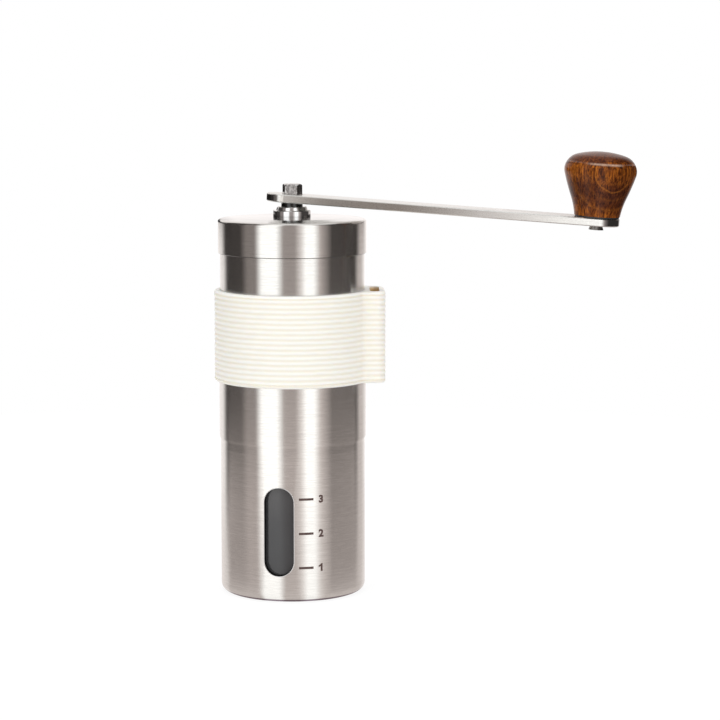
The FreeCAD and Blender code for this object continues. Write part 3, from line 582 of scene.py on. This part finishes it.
def shaft_steel():
    """Cast and ground steel of the shaft, with painted shade on the neck where it turns in the bush."""
    material, nodes = new_material("shaft_steel")
    height = nodes.split(nodes.place())[2]
    grain = nodes.own_noise(*SHAFT_GRAIN)
    colour = nodes.shades(grain, SHAFT_DARK, SHAFT_LIGHT, SHAFT_RANGE)
    # Painted shade darkens the neck between the bush and the arm
    finish_material(
        nodes,
        Base_Color=nodes.mix(nodes.between(height, NECK_SHADE_HEIGHTS), colour, NECK_SHADE),
        Metallic=1.0,
        Roughness=SHAFT_ROUGHNESS,
        Normal=nodes.bump(grain, *SHAFT_BUMP),
    )
    return material


def turned_metal(name, marks, limits, dark, light, roughness):
    """Turned metal with faint rings of two shades."""
    material, nodes = new_material(name)
    colour = nodes.shades(nodes.own_noise(*marks), dark, light, limits)
    finish_material(nodes, Base_Color=colour, Metallic=1.0, Roughness=roughness)
    return material


def polished_steel():
    """Bright turned and polished steel with a few faint marks."""
    material, nodes = new_material("polished_steel")
    gloss = nodes.span(nodes.own_noise(*TURNED_MARKS), POLISHED_RANGE, *POLISHED_ROUGHNESS)
    finish_material(nodes, Base_Color=POLISHED_SHADE, Metallic=1.0, Roughness=gloss)
    return material


def silicone():
    """Soft cream silicone, with painted shade in the grooves between the ribs and inside the loop's slot,
    and a painted highlight on the top lip.
    """
    material, nodes = new_material("silicone")
    place = nodes.place()
    height = nodes.split(place)[2]
    turns = nodes.math("SUBTRACT", height, BAND_BOTTOM + BAND_EDGE)
    turns = nodes.math("MULTIPLY", turns, 2 * math.pi / RIB_PITCH)
    groove = nodes.span(nodes.math("COSINE", turns), GROOVE_RANGE)
    clouded = [part * SILICONE_CLOUD_LEVEL for part in SILICONE_CREST]
    crest = nodes.shades(nodes.own_noise(*SILICONE_CLOUD), SILICONE_CREST, clouded)
    # Painted shade in the grooves between the ribs
    colour = nodes.mix(groove, crest, SILICONE_GROOVE_SHADE)
    # Painted highlight on the top lip, where light falls from above
    lip = nodes.span(height, (BAND_TOP - BAND_EDGE, BAND_TOP - BAND_EDGE / 3))
    colour = nodes.mix(lip, colour, SILICONE_LIP_HIGHLIGHT)
    own = nodes.add("ShaderNodeMapping", vector_type="TEXTURE", in0=place, in2=(0, 0, LOOP_AZIMUTH))
    out, along, up = nodes.split(own.outputs[0])
    outer = LOOP_REACH - LOOP_WALL + SLOT_SKIN
    inner = outer - SLOT_WIDTH - 2 * SLOT_SKIN
    side = SLOT_LENGTH / 2 + SLOT_SKIN
    within = nodes.math(
        "MULTIPLY",
        nodes.between(out, (inner - SLOT_SKIN, inner, outer, outer + SLOT_SKIN)),
        nodes.between(along, (-side - SLOT_SKIN, -side, side, side + SLOT_SKIN)),
    )
    # Painted shade inside the loop's slot, fading out towards its top
    deep = nodes.span(height, (BAND_TOP - SLOT_SHADE, BAND_TOP), 1.0, 0.0)
    colour = nodes.mix(nodes.math("MULTIPLY", within, deep), colour, SILICONE_SLOT_SHADE)
    finish_material(
        nodes,
        Base_Color=colour,
        Roughness=SILICONE_ROUGHNESS,
        Subsurface_Weight=SCATTER_WEIGHT,
        Subsurface_Radius=SCATTER_REACH,
        Subsurface_Scale=SCATTER_FACTOR,
        Normal=nodes.bump(nodes.own_noise(*SILICONE_GRAIN), *SILICONE_BUMP),
    )
    return material


def slow_swing(nodes, place, scale, reach):
    """Slow noise about zero that bends a figure by up to half its reach."""
    noise = nodes.add("ShaderNodeTexNoise", in0=place, Scale=scale, Detail=2.0, Roughness=0.5)
    return nodes.math("MULTIPLY", nodes.math("SUBTRACT", noise.outputs["Fac"], 0.5), reach)


def grain_curves(nodes, own, side, height):
    """Brightness of the pale curves of the grain, nested below the ridge."""
    below = nodes.math("MINIMUM", nodes.math("SUBTRACT", height, GRAIN_HEIGHT), 0.0)
    across = nodes.math("DIVIDE", side, GRAIN_HALF_WIDTH)
    down = nodes.math("DIVIDE", below, GRAIN_DEPTH)
    squares = [nodes.math("MULTIPLY", part, part) for part in (across, down)]
    reach = nodes.math("SQRT", nodes.math("ADD", *squares))
    reach = nodes.math("ADD", reach, slow_swing(nodes, own, *GRAIN_WARP))
    reach = nodes.math("MULTIPLY", reach, GRAIN_SHARE)
    stops = []
    for distance, level, width in GRAIN_CURVES:
        spot = distance * GRAIN_SHARE
        stops += [(spot - width, 0), (spot, level), (spot + width, 0)]
    below_ridge = nodes.math("LESS_THAN", height, RIDGE_EDGE[1])
    return nodes.math("MULTIPLY", nodes.ramp(reach, stops), below_ridge)


def wood():
    """Dark oiled hardwood: upright fibres, pale nested curves of the grain, a satin lacquer, a painted
    highlight along the ridge and painted shade towards +X.
    """
    material, nodes = new_material("wood")
    own = nodes.add(
        "ShaderNodeMapping",
        vector_type="TEXTURE",
        in0=nodes.place(),
        in1=KNOB_FOOT,
        in2=(0, CRANK_DROOP, 0),
    ).outputs[0]
    x, y, height = nodes.split(own)
    side = nodes.math("SUBTRACT", x, GRAIN_SIDE)
    side = nodes.math("ADD", side, nodes.math("MULTIPLY", y, GRAIN_SKEW))
    curves = grain_curves(nodes, own, side, height)
    fibres = nodes.noise(own, *FIBRES)
    pores = nodes.noise(own, *PORES)
    share = nodes.math("MULTIPLY", height, 1 / KNOB_HEIGHT)
    zones = nodes.ramp(nodes.math("ADD", share, slow_swing(nodes, own, *ZONE_DRIFT)), WOOD_ZONES)
    colour = nodes.mix(zones, nodes.ramp(fibres, FIBRES_DARK), nodes.ramp(fibres, FIBRES_LIGHT))
    colour = nodes.mix(curves, colour, GRAIN_SHADE)
    colour = nodes.mix(nodes.ramp(pores, PORE_STOPS), colour, PORE_SHADE)
    # Painted shade across the knob's width, darkest towards +X
    across = nodes.math("ADD", nodes.math("DIVIDE", x, KNOB_WIDTH), 0.5)
    colour = nodes.mix(1.0, colour, nodes.ramp(across, WOOD_SIDE_SHADE), "MULTIPLY")
    # Painted highlight along the ridge, over one span sideways and broken up by the fibres
    edge = nodes.between(height, RIDGE_EDGE)
    glint = nodes.math("MULTIPLY", edge, nodes.between(side, RIDGE_GLINT_REACH))
    glint = nodes.math("MULTIPLY", glint, nodes.math("MULTIPLY", fibres, GLINT_STRENGTH))
    colour = nodes.mix(glint, colour, GLINT_COLOUR)
    relief = nodes.math("MULTIPLY", pores, PORE_RELIEF)
    relief = nodes.math("ADD", relief, nodes.between(height, RIDGE))
    finish_material(
        nodes,
        Base_Color=colour,
        Roughness=WOOD_ROUGHNESS,
        Specular_IOR_Level=WOOD_SPECULAR,
        Normal=nodes.bump(relief, *WOOD_BUMP),
    )
    return material


def smoky_pane():
    """Smoky plastic that shows little of the cup's inside."""
    material, nodes = new_material("smoky_pane")
    finish_material(
        nodes,
        Base_Color=nodes.shades(nodes.own_noise(*PANE_CLOUD), PANE_DARK, PANE_LIGHT),
        Roughness=PANE_ROUGHNESS,
        Transmission_Weight=PANE_CLEARNESS,
        IOR=PANE_IOR,
    )
    return material


def moulded(name, dark, light, roughness, specular):
    """Moulded or fired material with a faint grain."""
    material, nodes = new_material(name)
    grain = nodes.own_noise(*MOULDED_GRAIN)
    finish_material(
        nodes,
        Base_Color=nodes.shades(grain, dark, light),
        Roughness=roughness,
        Specular_IOR_Level=specular,
        Normal=nodes.bump(grain, *MOULDED_BUMP),
    )
    return material


def print_ink():
    """Dark brown ink of the level marks."""
    material, nodes = new_material("print_ink")
    colour = nodes.shades(nodes.own_noise(*INK_GRAIN), INK_DARK, INK_LIGHT)
    finish_material(nodes, Base_Color=colour, Roughness=INK_ROUGHNESS)
    return material


def dress_nodes(frame):
    """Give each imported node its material, by the record's slots."""
    looks = {name: moulded(name, *values) for name, values in MOULDED.items()}
    looks["steel"] = round_brushed_steel(
        "round_brushed_steel", BODY_ROUGHNESS, BODY_BRUSHING, CUP_SHADE_HEIGHTS, CUP_PAINTED_SHADE
    )
    looks["arm_steel"] = arm_steel()
    looks["polished_steel"] = polished_steel()
    looks["silicone"] = silicone()
    looks["smoke_plastic"] = smoky_pane()
    looks["wood"] = wood()
    looks["brass"] = turned_metal("brass", *BRASS)
    for part in frame["record"]["subparts"]:
        node = frame["nodes"][part["node"]]
        node.data.materials.clear()
        node.data.materials.append(looks[part["material_slot"]])
    own = {
        "lid_shell": round_brushed_steel(
            "lid_steel", LID_ROUGHNESS, LID_BRUSHING, LID_SHADE_HEIGHTS, LID_PAINTED_SHADE
        ),
        "shaft": shaft_steel(),
        "knob_pin": turned_metal("dark_steel", *DARK_STEEL),
    }
    for name, material in own.items():
        slots = frame["nodes"][name].data.materials
        slots.clear()
        slots.append(material)
    return looks


def new_object(name, mesh, material):
    """Linked object of a bmesh, with one material."""
    data = bpy.data.meshes.new(name)
    mesh.to_mesh(data)
    mesh.free()
    data.materials.append(material)
    made = bpy.data.objects.new(name, data)
    bpy.context.collection.objects.link(made)
    return made


def mesh_object(name, mesh, material, body):
    """Visible piece of a bmesh that rides on a body."""
    piece = new_object(name, mesh, material)
    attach(piece, body)
    return piece


def smooth_faces(mesh):
    """Turn all faces outwards and shade them smooth."""
    bmesh.ops.recalc_face_normals(mesh, faces=mesh.faces)
    for face in mesh.faces:
        face.smooth = True


def arc_points(centre, radius, start, end, steps):
    """Points and outward directions along an arc in the XY plane, both ends included."""
    points = []
    for index in range(steps + 1):
        angle = start + (end - start) * index / steps
        out = Vector((math.cos(angle), math.sin(angle)))
        points.append((centre + out * radius, out))
    return points


def band_outline():
    """Outer outline of the band from above: a circle that swells into the loop along +X."""
    root_y = LOOP_HALF_DEPTH + LOOP_ROOT
    root_x = math.sqrt((BAND_RADIUS + LOOP_ROOT) ** 2 - root_y**2)
    root_angle = math.atan2(root_y, root_x)
    root = Vector((root_x, root_y))
    hollow = arc_points(root, LOOP_ROOT, -math.pi / 2, root_angle - math.pi, ROOT_STEPS)
    halves = []
    for radius in (LOOP_BACK_CORNER, LOOP_FRONT_CORNER):
        centre = Vector((LOOP_REACH - radius, LOOP_HALF_DEPTH - radius))
        half = arc_points(centre, radius, 0, math.pi / 2, CORNER_STEPS)
        halves.append(half + [(point, -out) for point, out in hollow])
    middle = Vector((0, 0))
    around = arc_points(middle, BAND_RADIUS, root_angle, 2 * math.pi - root_angle, ROUND_STEPS)
    lower = [(Vector((p.x, -p.y)), Vector((o.x, -o.y))) for p, o in reversed(halves[1])]
    face = []
    low, high = LOOP_FRONT_CORNER - LOOP_HALF_DEPTH, LOOP_HALF_DEPTH - LOOP_BACK_CORNER
    for index in range(1, LOOP_FACE_STEPS):
        y = low + (high - low) * index / LOOP_FACE_STEPS
        face.append((Vector((LOOP_REACH, y)), Vector((1, 0))))
    return halves[0] + around[1:-1] + lower + face


def band_levels():
    """(height, how far in) up the band's ribbed side, with rounded ribs and edges."""
    levels = []
    for index in range(EDGE_STEPS + 1):
        angle = math.pi / 2 * index / EDGE_STEPS
        inward = BAND_EDGE * (1 - math.sin(angle))
        levels.append((BAND_BOTTOM + BAND_EDGE * (1 - math.cos(angle)), inward))
    ribs = []
    for index in range(1, RIB_COUNT * RIB_STEPS):
        share = index / RIB_STEPS
        wave = 0.5 + 0.5 * math.cos(2 * math.pi * share)
        height = BAND_BOTTOM + BAND_EDGE + RIB_PITCH * share
        ribs.append((height, RIB_DEPTH * wave**RIB_ROUNDNESS))
    top = [(BAND_BOTTOM + BAND_TOP - z, inward) for z, inward in reversed(levels)]
    return levels + ribs + top


def slot_outline():
    """Outline of the loop's slot from above: a rectangle with round corners."""
    outer = LOOP_REACH - LOOP_WALL
    inner = outer - SLOT_WIDTH
    far = SLOT_LENGTH / 2 - SLOT_CORNER
    centres = (
        (outer - SLOT_CORNER, far),
        (inner + SLOT_CORNER, far),
        (inner + SLOT_CORNER, -far),
        (outer - SLOT_CORNER, -far),
    )
    points = []
    for quarter, centre in enumerate(centres):
        start = quarter * math.pi / 2
        arc = arc_points(Vector(centre), SLOT_CORNER, start, start + math.pi / 2, SLOT_CORNER_STEPS)
        points += [point for point, out in arc]
    return points


def grip_band(material):
    """Ribbed silicone band with the loop's slot through it."""
    mesh = bmesh.new()

    def level_loop(points, z):
        return [mesh.verts.new((point.x, point.y, z)) for point in points]

    def wall(lower, upper, flip=False):
        count = len(lower)
        for index in range(count):
            after = (index + 1) % count
            corners = [lower[index], lower[after], upper[after], upper[index]]
            mesh.faces.new(corners[::-1] if flip else corners)

    outline = band_outline()
    rows = [level_loop([p - o * inward for p, o in outline], z) for z, inward in band_levels()]
    for lower, upper in zip(rows, rows[1:]):
        wall(lower, upper)
    circle = arc_points(Vector((0, 0)), 1, 0, 2 * math.pi, BORE_SIDES)
    around = [out for point, out in circle[:-1]]
    bore = []
    for radius, z in (
        (SLEEVE_BORE, BAND_BOTTOM),
        (SLEEVE_BORE, SLEEVE_TOP),
        (TUBE_BORE, SLEEVE_TOP),
        (TUBE_BORE, BAND_TOP),
    ):
        bore.append(level_loop([out * radius for out in around], z))
    for lower, upper in zip(bore, bore[1:]):
        wall(lower, upper, flip=True)
    slot_points = slot_outline()
    slot = [level_loop(slot_points, BAND_BOTTOM), level_loop(slot_points, BAND_TOP)]
    wall(slot[0], slot[1], flip=True)
    for level in (0, -1):
        edges = []
        for loop in (rows[level], bore[level], slot[level]):
            for index, vertex in enumerate(loop):
                edges.append(mesh.edges.get((vertex, loop[(index + 1) % len(loop)])))
        bmesh.ops.triangle_fill(mesh, edges=edges, use_beauty=True, use_dissolve=False)
    turn = Matrix.Rotation(LOOP_AZIMUTH, 3, "Z")
    bmesh.ops.rotate(mesh, cent=(0, 0, 0), matrix=turn, verts=mesh.verts)
    smooth_faces(mesh)
    piece = mesh_object("ribbed_grip_band", mesh, material, "cup")
    piece.data.set_sharp_from_angle(angle=SHARP_EDGE)
    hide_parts("grip_band")


def on_cup(angle, z):
    """Point just off the cup's wall, at an angle to the right of the window's middle."""
    radius = CUP_RADIUS + MARK_LIFT
    angle += WINDOW_AZIMUTH
    return Vector((radius * math.sin(angle), -radius * math.cos(angle), z))


def level_marks(material):
    """Three printed lines beside the window."""
    mesh = bmesh.new()
    first, last = MARK_ANGLES
    for z in MARK_HEIGHTS:
        rows = []
        for side in (-1, 1):
            row = []
            for index in range(MARK_STEPS + 1):
                angle = first + (last - first) * index / MARK_STEPS
                row.append(mesh.verts.new(on_cup(angle, z + side * MARK_THICKNESS / 2)))
            rows.append(row)
        for index in range(MARK_STEPS):
            mesh.faces.new((rows[0][index], rows[0][index + 1], rows[1][index + 1], rows[1][index]))
    mesh_object("level_marks", mesh, material, "cup")


def number_shape(number):
    """Flat mesh of one number; the 1 is drawn here, with its flag."""
    mesh = bmesh.new()
    if number == "1":
        corners = [mesh.verts.new((x, y, 0)) for x, y in ONE_OUTLINE]
        pairs = zip(corners, corners[-1:] + corners[:-1])
        edges = [mesh.edges.new(pair) for pair in pairs]
        bmesh.ops.triangle_fill(mesh, edges=edges, use_beauty=True, use_dissolve=False)
        return mesh
    curve = bpy.data.curves.new("number", "FONT")
    curve.body = number
    curve.align_x = "CENTER"
    curve.offset = NUMBER_WEIGHT
    text = bpy.data.objects.new("number", curve)
    bpy.context.collection.objects.link(text)
    bpy.context.view_layer.update()
    evaluated = text.evaluated_get(bpy.context.evaluated_depsgraph_get())
    mesh.from_mesh(bpy.data.meshes.new_from_object(evaluated))
    bpy.data.objects.remove(text)
    return mesh


def level_numbers(material):
    """Plain numbers 1 to 3 at the marks, wrapped round the cup."""
    for number, z in zip("123", MARK_HEIGHTS):
        mesh = number_shape(number)
        heights = [vertex.co.y for vertex in mesh.verts]
        low, scale = min(heights), NUMBER_HEIGHT / (max(heights) - min(heights))
        for vertex in mesh.verts:
            angle = NUMBER_ANGLE + vertex.co.x * scale / CUP_RADIUS
            up = (vertex.co.y - low) * scale - NUMBER_HEIGHT / 2
            vertex.co = on_cup(angle, z + up)
        mesh_object("level_number_" + number, mesh, material, "cup")


def window_rim(material):
    """Thin bright bead along the window's cut edge."""
    straight = WINDOW_HALF_HEIGHT - WINDOW_HALF_WIDTH
    outline = []
    for lift, start in ((straight, 0), (-straight, math.pi)):
        centre = Vector((0, WINDOW_HEIGHT + lift))
        outline += arc_points(centre, WINDOW_HALF_WIDTH, start, start + math.pi, RIM_STEPS)
    mesh = bmesh.new()
    rings = []
    for point, out in outline:
        lean = math.asin(point.x / CUP_RADIUS)
        radial = Vector((math.sin(lean), -math.cos(lean), 0))
        along = Vector((math.cos(lean) * out.x, math.sin(lean) * out.x, out.y))
        ring = []
        for index in range(RIM_SIDES):
            angle = 2 * math.pi * index / RIM_SIDES
            offset = radial * math.sin(angle) + along * math.cos(angle)
            place = radial * CUP_RADIUS + Vector((0, 0, point.y)) + offset * RIM_THICKNESS
            ring.append(mesh.verts.new(Matrix.Rotation(WINDOW_AZIMUTH, 3, "Z") @ place))
        rings.append(ring)
    for index, ring in enumerate(rings):
        before = rings[index - 1]
        for side in range(RIM_SIDES):
            mesh.faces.new((before[side - 1], before[side], ring[side], ring[side - 1]))
    smooth_faces(mesh)
    mesh_object("window_rim", mesh, material, "cup")


def studio_world():
    """White surroundings for the eye and for gloss, a plain level for matt things."""
    world = bpy.data.worlds.new("studio")
    bpy.context.scene.world = world
    world.use_nodes = True
    world.cycles.sampling_method = "NONE"
    nodes = Nodes(world.node_tree)
    path = nodes.add("ShaderNodeLightPath")
    plain = (DIFFUSE_LEVEL, DIFFUSE_LEVEL, DIFFUSE_LEVEL)
    ceiling = (CEILING_LEVEL, CEILING_LEVEL, CEILING_LEVEL)
    seen = nodes.mix(path.outputs["Is Glossy Ray"], plain, ceiling)
    seen = nodes.mix(path.outputs["Is Camera Ray"], seen, (1, 1, 1))
    seen = nodes.mix(path.outputs["Is Transmission Ray"], seen, (1, 1, 1))
    background = nodes.add("ShaderNodeBackground", in0=seen, in1=1.0)
    nodes.add("ShaderNodeOutputWorld", in0=background.outputs[0])


def half_shade(level):
    """Colour of half a brightness, warmer where it is dim."""
    start, end = WARMTH_RANGE
    warmth = min(max((start - level) / (start - end), 0), 1)
    return [level / 2 * (1 - warmth * part) for part in WARMTH]


def turn_stops(stops):
    """Stops given in degrees as stops by the share of the full turn."""
    return [(degrees / 360 + 0.5, level) for degrees, level in stops]


def half_shades(stops):
    """Ramp stops at half their brightness, since a ramp holds no more than 1."""
    return [(share, half_shade(level)) for share, level in turn_stops(stops)]


def turn_share(nodes, x, y):
    """Share of the full turn round the Z axis, 0.5 towards -Y."""
    angle = nodes.math("ARCTAN2", x, nodes.math("MULTIPLY", y, -1.0))
    return nodes.math("ADD", nodes.math("DIVIDE", angle, 2 * math.pi), 0.5)


def glow(nodes, halves):
    """Glow at twice the half shades, joined to the output."""
    shader = nodes.add("ShaderNodeEmission", in0=halves, in1=2.0)
    nodes.add("ShaderNodeOutputMaterial", in0=shader.outputs[0])


def tent_turn(direction):
    """Degrees round the tent of what the steel mirrors in a direction."""
    turn = math.radians(direction)
    ahead = (math.sin(turn), math.cos(turn))
    x = MIRROR_RADIUS * math.sin(turn / 2) - TENT_RIGHT
    y = MIRROR_RADIUS * math.cos(turn / 2)
    along = x * ahead[0] + y * ahead[1]
    reach = math.sqrt(along**2 + TENT_RADIUS**2 - x**2 - y**2) - along
    return math.degrees(math.atan2(x + reach * ahead[0], y + reach * ahead[1]))


def table_turn(direction):
    """Degrees round the shaft of what the steel mirrors on the table in a direction."""
    turn = math.radians(direction + TABLE_TURNED)
    x = MIRROR_RADIUS * math.sin(turn / 2) + TABLE_REACH * math.sin(turn)
    y = MIRROR_RADIUS * math.cos(turn / 2) + TABLE_REACH * math.cos(turn)
    return math.degrees(math.atan2(x, y))


def panel_level(direction, edges, gap, level):
    """Brightness of one panel in a direction, down to the gap's past its soft edges."""
    starts, full, still_full, ends = edges
    share = min((direction - starts) / (full - starts), (ends - direction) / (ends - still_full), 1)
    return gap + (level - gap) * max(share, 0)


def panel_stops(piece, to_turn):
    """(degrees round the tent or the table, brightness) at the ends of the panels' soft edges."""
    gap = GAP_LEVELS[piece]

    def brightest(direction):
        return max(panel_level(direction, edges, gap, levels[piece]) for edges, levels in PANELS.values())

    directions = {edge for edges, _ in PANELS.values() for edge in edges if abs(edge) < 180}
    inner = [(to_turn(direction), brightest(direction)) for direction in sorted(directions)]
    return [(-180, brightest(-180)), *inner, (180, brightest(180))]


def gloss_only(name, mesh, material, place):
    """Stage piece that only glossy surfaces see and that lights nothing by itself."""
    material.cycles.emission_sampling = "NONE"
    piece = new_object(name, mesh, material)
    piece.location = place
    piece.rotation_euler = (0, 0, VIEW_AZIMUTH)
    piece.visible_camera = False
    piece.visible_diffuse = False
    piece.visible_transmission = False
    piece.visible_shadow = False


def light_tent():
    """Round light tent that only glossy surfaces see, bright and dark by the angle about Z."""
    material, nodes = new_material("light_tent")
    x, y, z = nodes.split(nodes.place())
    share = turn_share(nodes, x, y)
    height = nodes.math("ADD", z, TENT_HEIGHT / 2)
    wall = nodes.ramp(share, half_shades(panel_stops(TENT, tent_turn)))
    screens = nodes.ramp(share, turn_stops(SCREEN_STOPS))
    screens = nodes.math("MULTIPLY", screens, nodes.between(height, SCREEN_HEIGHTS))
    wall = nodes.mix(screens, wall, half_shade(SCREEN_LEVEL))
    foot = nodes.span(height, FOOT_HEIGHTS, 1.0, 0.0, kind="SMOOTHSTEP")
    lifted = nodes.mix(1.0, wall, nodes.ramp(share, half_shades(FOOT_STOPS)), "ADD")
    glow(nodes, nodes.mix(foot, wall, lifted))
    mesh = bmesh.new()
    bmesh.ops.create_cone(
        mesh, segments=STAGE_SIDES, radius1=TENT_RADIUS, radius2=TENT_RADIUS, depth=TENT_HEIGHT
    )
    right_x, right_y = math.cos(VIEW_AZIMUTH), math.sin(VIEW_AZIMUTH)
    place = (TENT_RIGHT * right_x, TENT_RIGHT * right_y, TENT_HEIGHT / 2)
    gloss_only("light_tent", mesh, material, place)


def disc():
    """Flat disc as wide as the floor."""
    mesh = bmesh.new()
    bmesh.ops.create_circle(mesh, cap_ends=True, segments=STAGE_SIDES, radius=FLOOR_RADIUS)
    return mesh


def table_gloss():
    """What glossy surfaces see of the table top: the tent's own light and dark, paler."""
    material, nodes = new_material("table_gloss")
    x, y, z = nodes.split(nodes.place())
    flat = nodes.add("ShaderNodeCombineXYZ", in0=x, in1=y, in2=0.0).outputs[0]
    reach = nodes.add("ShaderNodeVectorMath", operation="LENGTH", in0=flat).outputs[1]
    far, gain, start = TABLE_SPREAD
    spread = nodes.math("DIVIDE", gain, nodes.math("SUBTRACT", reach, start))
    spread = nodes.math("ADD", far, spread)
    turn = nodes.math("MULTIPLY", nodes.math("SUBTRACT", turn_share(nodes, x, y), 0.5), spread)
    shades = nodes.ramp(nodes.math("ADD", turn, 0.5), half_shades(panel_stops(TABLE, table_turn)))
    near = nodes.mix(1.0, shades, half_shade(TABLE_NEAR_LEVEL), "LIGHTEN")
    away = nodes.span(reach, TABLE_NEAR, kind="SMOOTHSTEP")
    glow(nodes, nodes.mix(away, near, shades))
    gloss_only("table_gloss", disc(), material, (0, 0, -TABLE_DROP))


def pale_floor():
    """White table top that keeps a faint shadow."""
    material, nodes = new_material("pale_floor")
    shine = nodes.add("ShaderNodeEmission", in0=(1, 1, 1, 1), in1=FLOOR_GLOW)
    matt = nodes.add("ShaderNodeBsdfDiffuse", in0=(FLOOR_SHADE, FLOOR_SHADE, FLOOR_SHADE, 1))
    both = nodes.add("ShaderNodeAddShader", in0=shine.outputs[0], in1=matt.outputs[0])
    real = nodes.add("ShaderNodeBsdfDiffuse", in0=(FLOOR_WHITE, FLOOR_WHITE, FLOOR_WHITE, 1))
    path = nodes.add("ShaderNodeLightPath").outputs
    straight = nodes.math("MAXIMUM", path["Is Camera Ray"], path["Is Transmission Ray"])
    shown = nodes.add("ShaderNodeMixShader", in0=straight, in1=real.outputs[0], in2=both.outputs[0])
    nodes.add("ShaderNodeOutputMaterial", in0=shown.outputs[0])
    floor = new_object("floor", disc(), material)
    floor.location = (0, 0, -FLOOR_DROP)


def soft_lamp(name, place, size, watts):
    """Large soft lamp aimed at the middle of the grinder, hidden from reflections."""
    data = bpy.data.lights.new(name, "AREA")
    data.size = size
    data.energy = watts
    lamp = bpy.data.objects.new(name, data)
    lamp.location = place
    aim = Vector(LAMP_AIM) - Vector(place)
    lamp.rotation_euler = aim.to_track_quat("-Z", "Y").to_euler()
    lamp.visible_glossy = False
    lamp.visible_camera = False
    bpy.context.collection.objects.link(lamp)


def main():
    """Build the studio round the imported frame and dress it."""
    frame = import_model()
    aim_camera()
    studio_world()
    light_tent()
    table_gloss()
    pale_floor()
    for name, values in LAMPS.items():
        soft_lamp(name, *values)
    looks = dress_nodes(frame)
    grip_band(looks["silicone"])
    ink = print_ink()
    level_marks(ink)
    level_numbers(ink)
    window_rim(looks["polished_steel"])
    bpy.context.scene.view_settings.view_transform = "Standard"


main()
